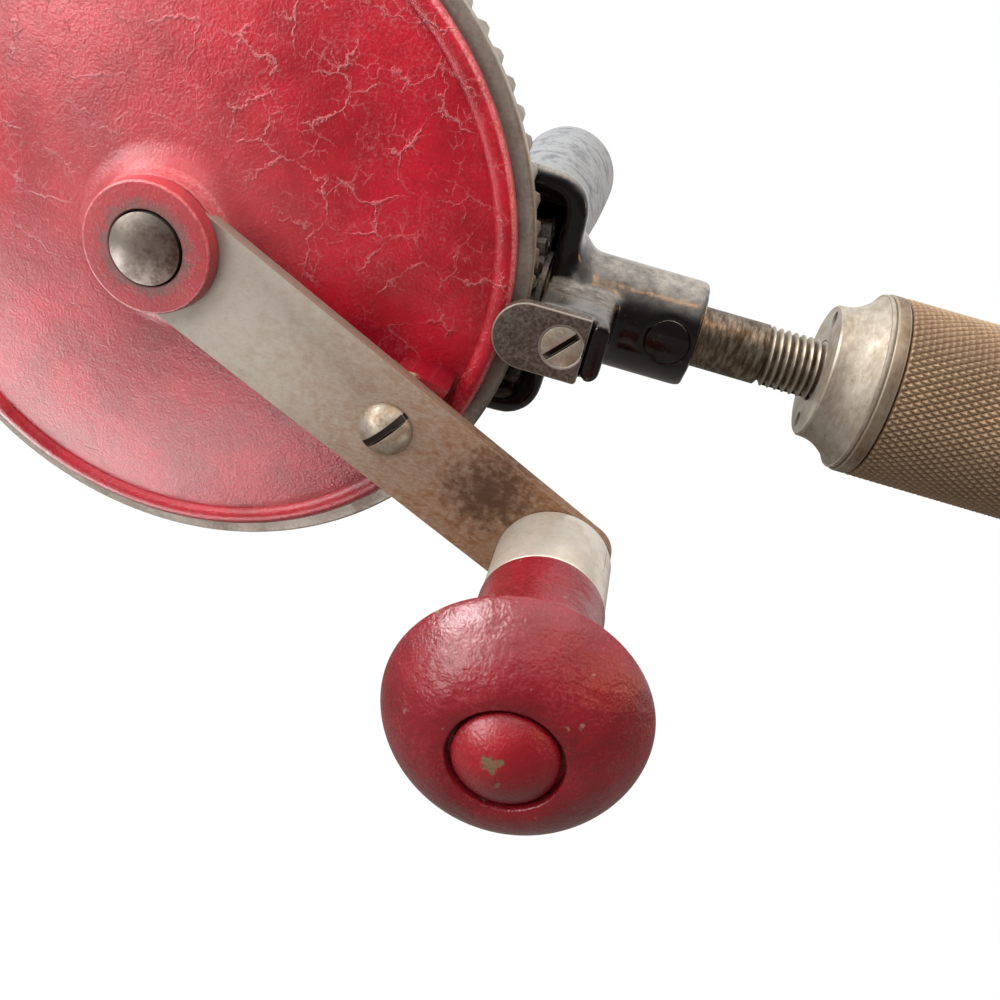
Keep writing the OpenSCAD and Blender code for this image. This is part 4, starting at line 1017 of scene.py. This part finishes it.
@dataclass
class Crank:
    """Axle, arm, arm screw, ferrule, knob and the pin through it."""

    axle_r: float = 6.5
    axle_end: float = -27.5
    dome_h: float = 1.4
    seat_r: float = 10.95
    arm_w: float = 22.0
    arm_tip_w: float = 20.8
    end_over: float = 9.0
    screw_r: float = 52.8
    head_r: float = 5.35
    slot_w: float = 1.6
    head_h: float = 3.6
    slot_turn: float = 50.0
    slot_depth: float = 2.7
    shank_r: float = 2.5
    ferrule_r: float = 11.3
    ferrule_l: float = 17.9
    neck_r: float = 11.5
    knob_r: float = 21.3
    knob_l: float = 59.4
    neck_l: float = 3.5
    cap_h: float = 11.2
    recess_h: float = 2.6
    button_r: float = 8.1
    button_h: float = 5.4
    button_dome_h: float = 3.8
    button_rise: float = 3.2
    pin_r: float = 4.5

    def axle(self) -> Mesh:
        """Axle with a riveted, domed front end.

        Returns:
            The mesh in its own frame, in millimetres.
        """
        ball_r = (self.axle_r ** 2 + self.dome_h ** 2) / (2 * self.dome_h)
        top = HUB_FRONT + self.dome_h + 0.4
        reach = [self.axle_r * math.sin(math.radians(a)) for a in range(0, 91, 9)]
        cap = [(r, top - ball_r + math.sqrt(ball_r ** 2 - r ** 2)) for r in reach]
        end = self.axle_end
        return lathe(cap + [(self.axle_r, end + 0.6), (self.axle_r - 0.6, end), (0.0, end)], 96)

    def arm(self) -> Mesh:
        """Flat arm with a slight taper and a round end, its other end hollowed to clasp the hub's neck.

        Returns:
            The mesh in its own frame, in millimetres.
        """
        end = CRANK_R + self.end_over
        half, tip = self.arm_w / 2, self.arm_tip_w / 2
        outline = [(0.0, -half), (end, -tip), (end, tip), (0.0, half)]
        bm = slab(outline, ARM_BACK, ARM_FRONT, {1: 6.0, 2: 6.0})
        bm = carve(bm, rod_mesh(self.seat_r, 20.0, Matrix.Translation((0, 0, ARM_BACK))))
        return round_edges(bm, 0.3, 3)

    def screw(self) -> Mesh:
        """Round-head screw with a driver slot.

        Returns:
            The mesh in its own frame, in millimetres.
        """
        ball_r = (self.head_r ** 2 + self.head_h ** 2) / (2 * self.head_h)
        middle = ARM_FRONT + self.head_h - ball_r
        rise = math.degrees(math.asin((ARM_FRONT + 0.4 - middle) / ball_r))
        dome = arc((0.0, middle), ball_r, 90, rise, 20)
        seat, tip = ARM_FRONT - 0.02, ARM_BACK - 8
        bm = lathe(dome + [(dome[-1][0], seat), (self.shank_r, seat), (self.shank_r, tip), (0.0, tip)], 96)
        turn = Matrix.Rotation(math.radians(CRANK_ANGLE + self.slot_turn), 4, "Z")
        cut = box_mesh((14.0, self.slot_w, 2 * self.slot_depth),
                       Matrix.Translation((0, 0, ARM_FRONT + self.head_h)))
        bm = darken_slot(round_edges(carve(bm, cut), 0.12, 2, 50.0), self.slot_w / 2)
        bmesh.ops.transform(bm, matrix=Matrix.Translation((self.screw_r, 0, 0)) @ turn, verts=bm.verts)
        return bm

    def ferrule(self) -> Mesh:
        """Rolled steel ring with its seam.

        Returns:
            The mesh in its own frame, in millimetres.
        """
        low, high = KNOB_FOOT, KNOB_FOOT + self.ferrule_l
        outer, inner = self.ferrule_r, self.ferrule_r - 1.5
        bm = lathe([(inner, low), (outer, low), (outer, high), (inner, high)], 128, closed=True)
        round_edges(bm, 0.5, 3)
        seam = Matrix.Rotation(math.radians(62), 4, "Z") @ Matrix.Translation((self.ferrule_r, 0, low + 4))
        return carve(bm, box_mesh((0.5, 0.16, 12.0), seam))

    def knob(self) -> Mesh:
        """Turned knob: a shouldered neck that swells into a mushroom, with a recess for the button.

        Returns:
            The mesh in its own frame, in millimetres.
        """
        core_r = self.ferrule_r - 1.6
        widest = self.knob_l - self.cap_h
        recess_r = self.button_r + 0.8
        rim_r = recess_r + 1.6
        steps = 32
        start = self.ferrule_l + self.neck_l
        turn = [math.pi / 2 * i / steps for i in range(steps + 1)]
        swell = [(self.neck_r + (self.knob_r - self.neck_r) * (1 - math.cos(a)) * (0.75 + 0.5 * a / math.pi),
                  start + (widest - start) * math.sin(a)) for a in turn]
        face = [(rim_r + (self.knob_r - rim_r) * math.cos(a) ** 1.3,
                 widest + (self.knob_l - widest) * math.sin(a) ** 1.3) for a in turn[1:]]
        floor = self.knob_l - self.recess_h
        outline = [(self.pin_r, 0.0), (core_r, 0.0), (core_r, self.ferrule_l - 1)]
        outline += [(self.ferrule_r - 0.3, self.ferrule_l - 0.4)]
        outline += arc((self.neck_r - 0.7, self.ferrule_l + 0.5), 0.7, -60, 0, 4)
        outline += swell + face + arc((recess_r + 0.5, self.knob_l - 0.5), 0.5, 90, 180, 4)
        outline += [(recess_r, floor), (self.pin_r, floor)]
        bm = lathe(outline, 160, closed=True)
        bmesh.ops.translate(bm, vec=(0, 0, KNOB_FOOT), verts=bm.verts)
        return bm

    def button(self) -> Mesh:
        """Crank pin with its domed button head.

        Returns:
            The mesh in its own frame, in millimetres.
        """
        top = KNOB_FOOT + self.knob_l + self.button_rise
        dome_h = self.button_dome_h
        foot = top - self.button_h
        ball_r = (self.button_r ** 2 + dome_h ** 2) / (2 * dome_h)
        side = math.degrees(math.acos((self.button_r - 0.15) / ball_r))
        dome = arc((0.0, top - ball_r), ball_r, 90, side, 20)
        outline = dome + [(self.button_r, top - dome_h - 0.3), (self.button_r, foot), (self.pin_r, foot)]
        rivet_r, rivet_z = self.pin_r + 2, ARM_BACK - 1.2
        outline += [(self.pin_r, ARM_BACK), (rivet_r, ARM_BACK), (rivet_r, rivet_z), (0.0, rivet_z)]
        return lathe(outline, 128)

    def build(self) -> None:
        """Make the crank's pieces."""
        hub, arm, grip = Place.GEAR.world(), Place.CRANK.world(), Place.KNOB.world()
        finish_piece("axle_shaft", self.axle(), hub, AXLE_STEEL, Body.CRANK, ["gear_axle"])
        finish_piece("arm_strap", self.arm(), arm, ARM_STEEL, Body.CRANK, ["crank_arm"])
        finish_piece("arm_screw", self.screw(), arm, SCREW_STEEL, Body.CRANK, ["crank_screw"])
        finish_piece("button_pin", self.button(), grip, BUTTON_ENAMEL, Body.CRANK, ["crank_pin"])
        finish_piece("knob_turned", self.knob(), grip, KNOB_ENAMEL, Body.KNOB, ["crank_knob"])
        finish_piece("ferrule_ring", self.ferrule(), grip, FERRULE_STEEL, Body.KNOB,
                     ["knob_ferrule"])


@dataclass
class FrameCasting:
    """Black casting with its keeper, oil plug and side handle."""

    voxel_mm: float = 0.75
    smooth_rounds: int = 7
    loop_rounds: int = 14
    loop_x: float = 73.0
    loop_h: float = 26.13
    keeper_x0: float = 61.8
    keeper_l: float = 17.8
    keeper_h: float = 13.0
    keeper_t: float = 2.8
    ear_front: float = 27.3
    screw_x: float = 75.2
    screw_r: float = 3.9
    slot_turn: float = 48.0
    plug_x: float = 95.0
    plug_r: float = 4.5
    slot_w: float = 1.3
    slot_depth: float = 1.3
    nose_r: float = 11.15
    handle_y: float = 30.33
    handle_l: float = 118.0
    handle_r: float = 15.2
    handle_foot_r: float = 10.5

    def casting(self) -> Mesh:
        """Copy of the CAD casting with the soft edges and fillets of cast iron.

        Returns:
            The mesh in the part's frame, in metres.
        """
        bm = bake(cad_copy("frame"), "REMESH", {"mode": "VOXEL", "voxel_size": self.voxel_mm * MM})
        right, top = (GEAR_X + self.loop_x - 3.0) * MM, (self.loop_h - 3.0) * MM
        soft = [v for v in bm.verts if v.co.x < (GEAR_X + self.loop_x + 2) * MM and -14 * MM < v.co.y < 0
                and (v.co.x > right or abs(v.co.z) > top)]
        for verts, rounds in ((bm.verts[:], self.smooth_rounds), (soft, self.loop_rounds)):
            for _ in range(rounds):
                bmesh.ops.smooth_vert(bm, verts=verts, factor=0.5, use_axis_x=True, use_axis_y=True,
                                      use_axis_z=True)
        return bm

    def keeper(self) -> Mesh:
        """Keeper plate with one round end and a countersunk hole.

        Returns:
            The mesh in its own frame, in millimetres.
        """
        half, end = self.keeper_h / 2, self.keeper_x0 + self.keeper_l
        outline = [(self.keeper_x0, -half), (end, -half), (end, half), (self.keeper_x0, half)]
        top = self.ear_front + self.keeper_t
        bm = slab(outline, self.ear_front, top, {0: half - 0.01, 3: half - 0.01, 1: 0.8})
        bmesh.ops.remove_doubles(bm, verts=bm.verts, dist=0.03)
        sink = bmesh.new()
        bmesh.ops.create_cone(sink, cap_ends=True, segments=64, radius1=self.screw_r - 2,
                              radius2=self.screw_r + 0.25, depth=2.4,
                              matrix=Matrix.Translation((self.screw_x, 0, top - 1.1)))
        return round_edges(carve(bm, sink), 0.3, 3, 40.0)

    def keeper_screw(self) -> Mesh:
        """Countersunk screw with a driver slot.

        Returns:
            The mesh in its own frame, in millimetres.
        """
        top = self.ear_front + self.keeper_t - 0.05
        bm = lathe([(0.0, top + 0.12), (self.screw_r * 0.6, top + 0.08), (self.screw_r, top - 0.1),
                    (self.screw_r - 1.8, top - 2.2), (2.1, top - 10), (0.0, top - 10)], 96)
        turn = Matrix.Rotation(math.radians(self.slot_turn), 4, "Z")
        bm = carve(bm, box_mesh((12.0, self.slot_w, 2 * self.slot_depth), Matrix.Translation((0, 0, top))))
        bm = darken_slot(round_edges(bm, 0.12, 2, 50.0), self.slot_w / 2)
        bmesh.ops.transform(bm, matrix=Matrix.Translation((self.screw_x, 0, 0)) @ turn, verts=bm.verts)
        return bm

    def plug(self) -> Mesh:
        """Flush plug in the side of the nose, cut to the nose's curve.

        Returns:
            The mesh in its own frame, in millimetres.
        """
        radius, low, high = self.plug_r - 0.1, 9.0, self.nose_r + 2
        bm = lathe([(0.0, high), (radius, high), (radius, low), (0.0, low)], 64)
        shell = rod_mesh(self.nose_r + 0.03, 30.0, Matrix.Rotation(math.radians(90), 4, "Y"))
        bm = bake(bm, "BOOLEAN", {"operation": "INTERSECT", "solver": "EXACT"}, shell)
        round_edges(bm, 0.25, 2, 40.0, worn=False)
        bmesh.ops.translate(bm, vec=(self.plug_x, 0, 0), verts=bm.verts)
        return bm

    def handle(self) -> Mesh:
        """Turned side handle with a round end.

        Returns:
            The mesh in its own frame, in millimetres.
        """
        low = self.handle_y + 1
        bulb = self.handle_y + self.handle_l - self.handle_r
        growth = self.handle_r - self.handle_foot_r
        swell = [(self.handle_foot_r + growth * math.sin(math.pi / 2 * i / 40) ** 0.6,
                  low + (bulb - low) * i / 40) for i in range(1, 41)]
        foot = [(0.0, self.handle_y), (self.handle_foot_r - 1, self.handle_y), (self.handle_foot_r, low)]
        return lathe(foot + swell + arc((0.0, bulb), self.handle_r, 0, 90, 24)[1:], 128)

    def build(self) -> None:
        """Make the frame's pieces."""
        part, side, plate, grip = (Matrix.Identity(4), Place.GEAR.world(), Place.KEEPER.world(),
                                   Place.HANDLE.world())
        finish_piece("frame_casting", self.casting(), part, FRAME_ENAMEL, Body.FRAME, ["frame"],
                     180.0)
        finish_piece("oil_plug", self.plug(), side, FRAME_ENAMEL, Body.FRAME, ["nose_plug"])
        finish_piece("keeper_plate", self.keeper(), plate, KEEPER_STEEL, Body.FRAME,
                     ["gear_keeper"])
        finish_piece("keeper_fastener", self.keeper_screw(), plate, SCREW_STEEL, Body.FRAME,
                     ["keeper_screw"])
        finish_piece("handle_turned", self.handle(), grip, HANDLE_PAINT, Body.FRAME,
                     ["side_handle"])


@dataclass
class SpindleShaft:
    """Spindle with its rear journal and a true helical thread."""

    shaft_r: float = 6.35
    journal_r: float = 5.0
    journal_x: float = 29.0
    shoulder_x: float = 46.24
    thread_x: float = 115.5
    pitch: float = 1.5875
    depth: float = 1.03
    turns: int = 15

    def shaft(self) -> Mesh:
        """Plain shaft up to the thread.

        Returns:
            The mesh in its own frame, in millimetres.
        """
        root = self.shaft_r - self.depth
        end = self.thread_x + self.turns * self.pitch
        outline = [(0.0, self.journal_x), (self.journal_r - 0.6, self.journal_x)]
        outline += [(self.journal_r, self.journal_x + 0.6), (self.journal_r, self.shoulder_x)]
        outline += [(self.shaft_r, self.shoulder_x), (self.shaft_r, self.thread_x - 0.4)]
        return lathe(outline + [(root, self.thread_x + 0.3), (root, end), (0.0, end)], 96)

    def thread(self) -> Mesh:
        """Helical thread, its ends inside the shaft and the chuck.

        Returns:
            The mesh in its own frame, in millimetres.
        """
        crest, root = self.shaft_r - 0.03, self.shaft_r - self.depth
        outline = []
        for i in range(self.turns):
            start = self.thread_x - 0.6 * self.pitch + i * self.pitch
            outline += [(root, start)]
            outline += [(radius, start + share * self.pitch)
                        for radius, share in ((root + 0.1, 0.12), (crest - 0.06, 0.44), (crest, 0.5),
                                              (crest - 0.06, 0.56), (root + 0.1, 0.88))]
        outline.append((root, self.thread_x + (self.turns - 0.6) * self.pitch))
        bm = lathe(outline, 96, rise=self.pitch)
        bmesh.ops.holes_fill(bm, edges=[e for e in bm.edges if e.is_boundary], sides=0)
        return bm

    def build(self) -> None:
        """Make the spindle."""
        shaft = joined([self.shaft(), self.thread()])
        layer = shaft.verts.layers.float.get("edge") or shaft.verts.layers.float.new("edge")
        for vert in shaft.verts:
            height = (math.hypot(vert.co.x, vert.co.y) - self.shaft_r) / self.depth + 1
            vert[layer] = max(0.0, 2 * height - 1) if vert.co.z > self.thread_x else 0.0
        finish_piece("spindle_shaft", shaft, Place.SPINDLE.world(), SPINDLE_STEEL,
                     Body.SPINDLE, ["spindle"])


@dataclass
class Chuck:
    """Chuck: body with the bores of the three jaws, ring and knurled sleeve."""

    back_x: float = 127.0
    back_r: float = 14.0
    outer_r: float = 19.0
    lip_r: float = 18.6
    ring_x: float = 136.3
    sleeve_x: float = 139.5
    cone_x: float = 186.5
    front_x: float = 202.5
    front_r: float = 10.5
    core_r: float = 14.0
    recess_r: float = 16.6
    recess_x: float = 167.9
    bore_r: float = 5.0
    jaw_r: float = 4.05
    jaw_angle: float = 13.0
    jaw_front_r: float = 4.575
    jaw_bore_l: float = 61.5
    jaw_bore_back: float = 3.75
    thread_r: float = 6.5
    thread_l: float = 14.0
    hole_r: float = 1.7
    hole_l: float = 8.0
    hole_inset: float = 3.0
    hole_turn: float = -8.0
    knurl_count: int = 80
    knurl_length: float = 2.55
    knurl_depth: float = 0.42

    def body(self) -> Mesh:
        """Flared rear body, core and front cone, with jaw bores and spanner holes.

        Returns:
            The mesh in its own frame, in millimetres.
        """
        reach = self.ring_x - 1.0 - self.back_x
        rise = [(self.back_r + (self.lip_r - 0.5 - self.back_r) * t ** 2.3,
                 self.back_x + 0.4 + (reach - 0.4) * t) for t in (i / 24 for i in range(25))]
        lip = arc((self.lip_r - 0.9, self.ring_x - 0.6), 0.9, -25, 60, 5)
        outline = [(self.thread_r, self.back_x), (self.back_r - 0.35, self.back_x)] + rise + lip
        outline += [(self.core_r, self.ring_x), (self.core_r, self.cone_x + 0.3)]
        outline += [(self.outer_r - 1.5, self.cone_x + 0.3), (self.outer_r - 1.1, self.cone_x + 0.9)]
        outline += [(self.front_r, self.front_x - 0.4), (self.front_r - 0.4, self.front_x)]
        outline += [(self.bore_r, self.front_x)]
        outline += [(self.bore_r, self.back_x + self.thread_l), (self.thread_r, self.back_x + self.thread_l)]
        bm = lathe(outline, 128, closed=True)
        cuts = []
        for i in range(3):
            jaw = Matrix.Rotation(math.radians(120 * i), 4, "Z")
            jaw = jaw @ Matrix.Translation((self.jaw_front_r, 0, self.front_x))
            jaw = jaw @ Matrix.Rotation(math.radians(-self.jaw_angle), 4, "Y")
            jaw = jaw @ Matrix.Translation((0, 0, -self.jaw_bore_back))
            cuts.append(rod_mesh(self.jaw_r, self.jaw_bore_l, jaw))
        for side in (-1, 1):
            hole = Matrix.Translation((side * (self.back_r - self.hole_inset), 0, self.back_x))
            hole = Matrix.Rotation(math.radians(self.hole_turn), 4, "Z") @ hole
            cuts.append(rod_mesh(self.hole_r, self.hole_l, hole))
        for cut in cuts:
            bm = carve(bm, cut)
        return bm

    def ring(self) -> Mesh:
        """Brown ring between the body and the sleeve.

        Returns:
            The mesh in its own frame, in millimetres.
        """
        inner, outer = self.core_r + 0.02, self.outer_r - 0.1
        low, high = self.ring_x + 0.05, self.sleeve_x - 0.35
        bm = lathe([(inner, low), (outer, low), (outer, high), (inner, high)], 160, closed=True)
        return round_edges(bm, 0.35, 3)

    def knurl(self) -> Mesh:
        """Skin of diamond points, drawn flat and then rolled round the sleeve.

        Returns:
            The mesh in its own frame, in millimetres.
        """
        root_r = self.outer_r - self.knurl_depth
        width = math.tau * root_r / self.knurl_count
        low, high = self.sleeve_x + 0.35, self.cone_x - 0.35
        cells = 2 * math.ceil((self.knurl_count + (high - low) / self.knurl_length) / 2) + 4
        bm = bmesh.new()
        bmesh.ops.create_grid(bm, x_segments=cells, y_segments=cells, size=cells / 2)
        layer = bm.verts.layers.float.new("edge")
        points = bmesh.ops.poke(bm, faces=bm.faces[:], offset=self.knurl_depth, center_mode="MEAN")["verts"]
        # The points are marked for the pale edge colour: wear, and partly a painted highlight on the crests.
        for vert in points:
            vert[layer] = 1.0
        bmesh.ops.rotate(bm, verts=bm.verts, cent=(0, 0, 0), matrix=Matrix.Rotation(math.radians(45), 3, "Z"))
        diagonal = math.sqrt(2)
        bmesh.ops.scale(bm, vec=(width / diagonal, self.knurl_length / diagonal, 1.0), verts=bm.verts)
        half_u, half_v = self.knurl_count * width / 2, (high - low) / 2
        for normal, reach in (((1, 0, 0), half_u), ((-1, 0, 0), half_u),
                              ((0, 1, 0), half_v), ((0, -1, 0), half_v)):
            bmesh.ops.bisect_plane(bm, geom=bm.verts[:] + bm.edges[:] + bm.faces[:],
                                   plane_co=Vector(normal) * reach, plane_no=normal, clear_outer=True)
        for vert in bm.verts:
            angle, radius, along = vert.co.x / root_r, root_r + vert.co.z, vert.co.y + (low + high) / 2
            vert.co = (radius * math.cos(angle), radius * math.sin(angle), along)
        bmesh.ops.remove_doubles(bm, verts=bm.verts, dist=1e-3)
        rim = bmesh.ops.extrude_edge_only(bm, edges=[e for e in bm.edges if e.is_boundary])["geom"]
        for vert in (v for v in rim if isinstance(v, bmesh.types.BMVert)):
            reach = (root_r - 0.25) / math.hypot(vert.co.x, vert.co.y)
            outwards = 0.3 if vert.co.z > (low + high) / 2 else -0.3
            vert.co = (vert.co.x * reach, vert.co.y * reach, vert.co.z + outwards)
        bmesh.ops.recalc_face_normals(bm, faces=bm.faces)
        return bm

    def sleeve(self) -> Mesh:
        """Sleeve: a plain tube under the knurled skin.

        Returns:
            The mesh in its own frame, in millimetres.
        """
        inner, outer = self.core_r + 0.05, self.outer_r - self.knurl_depth - 0.2
        tube = lathe([(inner, self.sleeve_x), (outer - 0.4, self.sleeve_x), (outer, self.sleeve_x + 0.3),
                      (outer, self.cone_x - 0.3), (outer - 0.4, self.cone_x), (inner, self.cone_x),
                      (inner, self.cone_x - 1.5), (self.recess_r, self.cone_x - 1.5),
                      (self.recess_r, self.recess_x), (inner, self.recess_x)], 160, closed=True)
        return joined([tube, self.knurl()])

    def build(self) -> None:
        """Make the chuck's pieces."""
        axis = Place.SPINDLE.world()
        finish_piece("chuck_flare", self.body(), axis, CHUCK_STEEL, Body.SPINDLE, ["chuck_body"])
        finish_piece("chuck_ring", self.ring(), axis, RING_STEEL, Body.SPINDLE, ["chuck_collar"])
        finish_piece("sleeve_knurled", self.sleeve(), axis, KNURL_STEEL, Body.SLEEVE,
                     ["chuck_sleeve"], 25.0)


@dataclass
class EasedParts:
    """Pieces whose CAD shape is right but for its sharp edges, and inner pieces that only need a finish."""

    edge_mm: float = 0.4

    def eased(self, name: str, node: str, finish: Finish, body: Body, width: float) -> None:
        """Make a copy of a CAD node with rounded edges.

        Args:
            name: Name of the piece.
            node: The CAD node.
            finish: Its surface.
            body: The body that it moves with.
            width: Width of the rounding in millimetres.
        """
        bm = cad_copy(node)
        bmesh.ops.dissolve_limit(bm, angle_limit=math.radians(0.5), verts=bm.verts, edges=bm.edges)
        round_edges(bm, width * MM, 3, 40.0)
        finish_piece(name, bm, Matrix.Identity(4), finish, body, [node])

    def build(self) -> None:
        """Make the eased pieces and dress the CAD nodes that stay."""
        for name, node, finish, body, slot, width in (
                ("plate_saddle", "breast_plate", FRAME_ENAMEL, Body.FRAME, Slot.BLACK, 1.2),
                ("rod_shaft", "breast_rod", PLAIN_STEEL, Body.FRAME, Slot.STEEL, 0.6),
                ("plate_fastener", "plate_screw", SCREW_STEEL, Body.FRAME, Slot.STEEL, self.edge_mm),
                ("rod_cross_pin", "rod_pin", PLAIN_STEEL, Body.FRAME, Slot.STEEL, self.edge_mm),
                ("axle_ring", "axle_collar", PLAIN_STEEL, Body.CRANK, Slot.STEEL, self.edge_mm),
                ("axle_cross_pin", "collar_pin", SCREW_STEEL, Body.CRANK, Slot.STEEL, self.edge_mm)):
            self.eased(name, node, finish, body, width)
        for number, body in enumerate((Body.JAW_1, Body.JAW_2, Body.JAW_3), 1):
            self.eased(f"jaw_{number}_hardened", f"chuck_jaw_{number}", PLAIN_STEEL, body, 0.25)
        inner = {"pinion": PINION_STEEL, "pinion_pin": PINION_STEEL, "thrust_race": PLAIN_STEEL,
                 "thrust_cage": BUSH_BRONZE, "thrust_balls": BALL_STEEL, "front_bush": BUSH_BRONZE,
                 "rear_bush": BUSH_BRONZE, "gear_washer": PLAIN_STEEL, "handle_stud": PLAIN_STEEL,
                 "chuck_nut": PLAIN_STEEL}
        for node, finish in inner.items():
            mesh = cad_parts[node].data
            mesh.materials.clear()
            mesh.materials.append(finish.material())
            LOG.info("%s: CAD node, %s", node, finish.name)


@dataclass
class Lamp:
    """One soft light: its place and size in metres, its power in watts and the pieces that it lights."""

    name: str
    place: tuple[float, float, float]
    size: tuple[float, float]
    power: float
    colour: str = "#ffffff"
    diffuse: bool = True
    glossy: bool = True
    only: tuple[str, ...] = ()

    def build(self, target: Vector) -> None:
        """Put the lamp in the scene.

        Args:
            target: The point that it faces, in metres.
        """
        light = bpy.data.lights.new(self.name, "AREA")
        light.shape = "RECTANGLE"
        light.size, light.size_y = self.size
        light.energy = self.power
        light.color = hex_rgba(self.colour)[:3]
        made = bpy.data.objects.new(self.name, light)
        made.location = Vector(self.place)
        made.rotation_euler = (target - made.location).to_track_quat("-Z", "Y").to_euler()
        made.visible_camera = False
        made.visible_diffuse = self.diffuse
        made.visible_glossy = self.glossy
        if self.only:
            lit = bpy.data.collections.new(f"{self.name}_lit")
            for name in self.only:
                lit.objects.link(bpy.data.objects[name])
            made.light_linking.receiver_collection = lit
        bpy.context.scene.collection.objects.link(made)


@dataclass
class Studio:
    """Camera of the photograph, floor, world and lamps."""

    camera_mm: tuple[float, float, float] = (289.4, -220.4, 63.6)
    right: tuple[float, float, float] = (0.9579, 0.1609, 0.2377)
    down: tuple[float, float, float] = (0.2849, -0.4315, -0.8559)
    forward: tuple[float, float, float] = (-0.0352, 0.8876, -0.4592)
    lens_mm: float = 38.45
    floor_z: float = -1.2
    floor_half: float = 30.0
    floor_grey: str = "#8f8b86"
    floor_glow: float = 1.1
    floor_glow_share: float = 0.9
    white_y: float = 4.5
    room_dark: float = 0.12
    bright_side: tuple[float, float, float] = (-0.3, 0.72, 0.62)

    def camera(self) -> None:
        """Camera at the photograph's view."""
        data = bpy.data.cameras.new("photo_camera")
        data.sensor_width = 36.0
        data.lens = self.lens_mm
        data.clip_start = 0.01
        made = bpy.data.objects.new("photo_camera", data)
        columns = (self.right, [-v for v in self.down], [-v for v in self.forward])
        turn = Matrix([[column[row] for column in columns] for row in range(3)])
        made.matrix_world = Matrix.Translation(Vector(self.camera_mm) * MM) @ turn.to_4x4()
        bpy.context.scene.collection.objects.link(made)
        bpy.context.scene.camera = made

    def floor(self) -> None:
        """Pale floor that stays near white to the camera and keeps a faint shadow."""
        bm = bmesh.new()
        bmesh.ops.create_grid(bm, x_segments=1, y_segments=1, size=self.floor_half,
                              matrix=Matrix.Translation((0.2, 0, self.floor_z)))
        mesh = bpy.data.meshes.new("studio_floor")
        bm.to_mesh(mesh)
        bm.free()
        paper = bpy.data.materials.new("white_paper")
        paper.use_nodes = True
        paper.node_tree.nodes.clear()
        add = partial(add_node, paper.node_tree)
        path = add("ShaderNodeLightPath")
        shine = add(*MAXIMUM, {0: path["Is Glossy Ray"], 1: path["Is Transmission Ray"]})[0]
        depth = add(*SPLIT, {0: add("ShaderNodeTexCoord")["Object"]})["Y"]
        backdrop = add(*RANGE, {"Value": depth, "From Min": 0.4 * self.white_y, "From Max": self.white_y})[0]
        shine = add(*MULTIPLY, {0: shine, 1: backdrop})[0]
        seen = add(*MAXIMUM, {0: path["Is Camera Ray"], 1: shine})[0]
        seen = add(*MULTIPLY, {0: seen, 1: self.floor_glow_share})[0]
        matt = add("ShaderNodeBsdfDiffuse", None, {"Color": hex_rgba(self.floor_grey)})[0]
        white = add("ShaderNodeEmission", None, {"Strength": self.floor_glow})[0]
        mixed = add("ShaderNodeMixShader", None, {0: seen, 1: matt, 2: white})[0]
        add("ShaderNodeOutputMaterial", None, {"Surface": mixed})
        mesh.materials.append(paper)
        made = bpy.data.objects.new("studio_floor", mesh)
        bpy.context.scene.collection.objects.link(made)

    def world(self) -> None:
        """White room behind and above the object, darker before it; white to the camera."""
        world = bpy.data.worlds.new("studio")
        bpy.context.scene.world = world
        world.use_nodes = True
        world.node_tree.nodes.clear()
        add = partial(add_node, world.node_tree)
        look = add("ShaderNodeTexCoord")["Generated"]
        depth = add(*DOT_PRODUCT, {0: look, 1: self.bright_side})["Value"]
        level = add(*RANGE, {"Value": depth, "From Min": -0.45, "From Max": 0.35,
                             "To Min": self.room_dark})[0]
        level = add(*MAXIMUM, {0: level, 1: add("ShaderNodeLightPath")["Is Camera Ray"]})[0]
        shade = add("ShaderNodeBackground", None, {"Color": hex_rgba("#ffffff"), "Strength": level})[0]
        add("ShaderNodeOutputWorld", None, {"Surface": shade})

    def build(self) -> None:
        """Set the stage."""
        self.camera()
        self.floor()
        self.world()
        target = Vector((GEAR_X + 40, -30, 0)) * MM
        wheel = ("gear_disc", "gear_rim", "gear_wall", "arm_pad", "axle_shaft")
        arm = ("arm_strap", "arm_screw")
        knob = ("knob_turned", "button_pin")
        gloss = {"diffuse": False}
        warm = "#ffb468"
        for lamp in (
                Lamp("left_window", (-0.34, -0.5, 0.2), (0.32, 0.32), 2.4),
                Lamp("left_card", (-0.34, -0.5, 0.2), (0.3, 0.3), 5.0, **gloss, only=wheel + knob),
                Lamp("low_card", (-0.02, -0.26, -0.52), (1.3, 0.2), 7.5, **gloss, only=wheel),
                Lamp("low_left_card", (-0.28, -0.28, -0.36), (0.25, 0.2), 1.8, **gloss, only=wheel),
                Lamp("high_card", (-0.33, 0.02, 0.41), (0.45, 0.35), 11.0, **gloss, only=knob),
                Lamp("knob_bulb", (0.75, -0.3, 0.3), (0.12, 0.12), 0.5, warm, **gloss, only=knob),
                Lamp("front_card", (0.05, -0.75, -0.2), (0.8, 0.4), 1.7, only=arm),
                Lamp("front_softbox", (0.08, -0.6, 0.8), (0.7, 0.4), 8.2, glossy=False),
                Lamp("high_window", (-0.33, 0.02, 0.41), (0.45, 0.35), 4.2),
                Lamp("ceiling_softbox", (0.33, 0.32, 1.0), (1.2, 0.9), 4.0),
                Lamp("right_bulb", (1.0, 0.07, 0.23), (0.2, 0.2), 0.7, warm),
                Lamp("warm_bulb", (0.42, -0.24, 1.0), (0.24, 0.07), 0.9, warm)):
            lamp.build(target)
        bpy.context.scene.view_settings.view_transform = "Standard"


def main() -> None:
    """Build every sub-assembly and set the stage."""
    logging.basicConfig(level=logging.INFO, format="%(name)s: %(message)s")
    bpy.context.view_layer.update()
    for part in (GearWheel(), Crank(), FrameCasting(), SpindleShaft(), Chuck(), EasedParts(), Studio()):
        part.build()
        LOG.info("built %s", type(part).__name__)


if __name__ == "__main__":
    main()
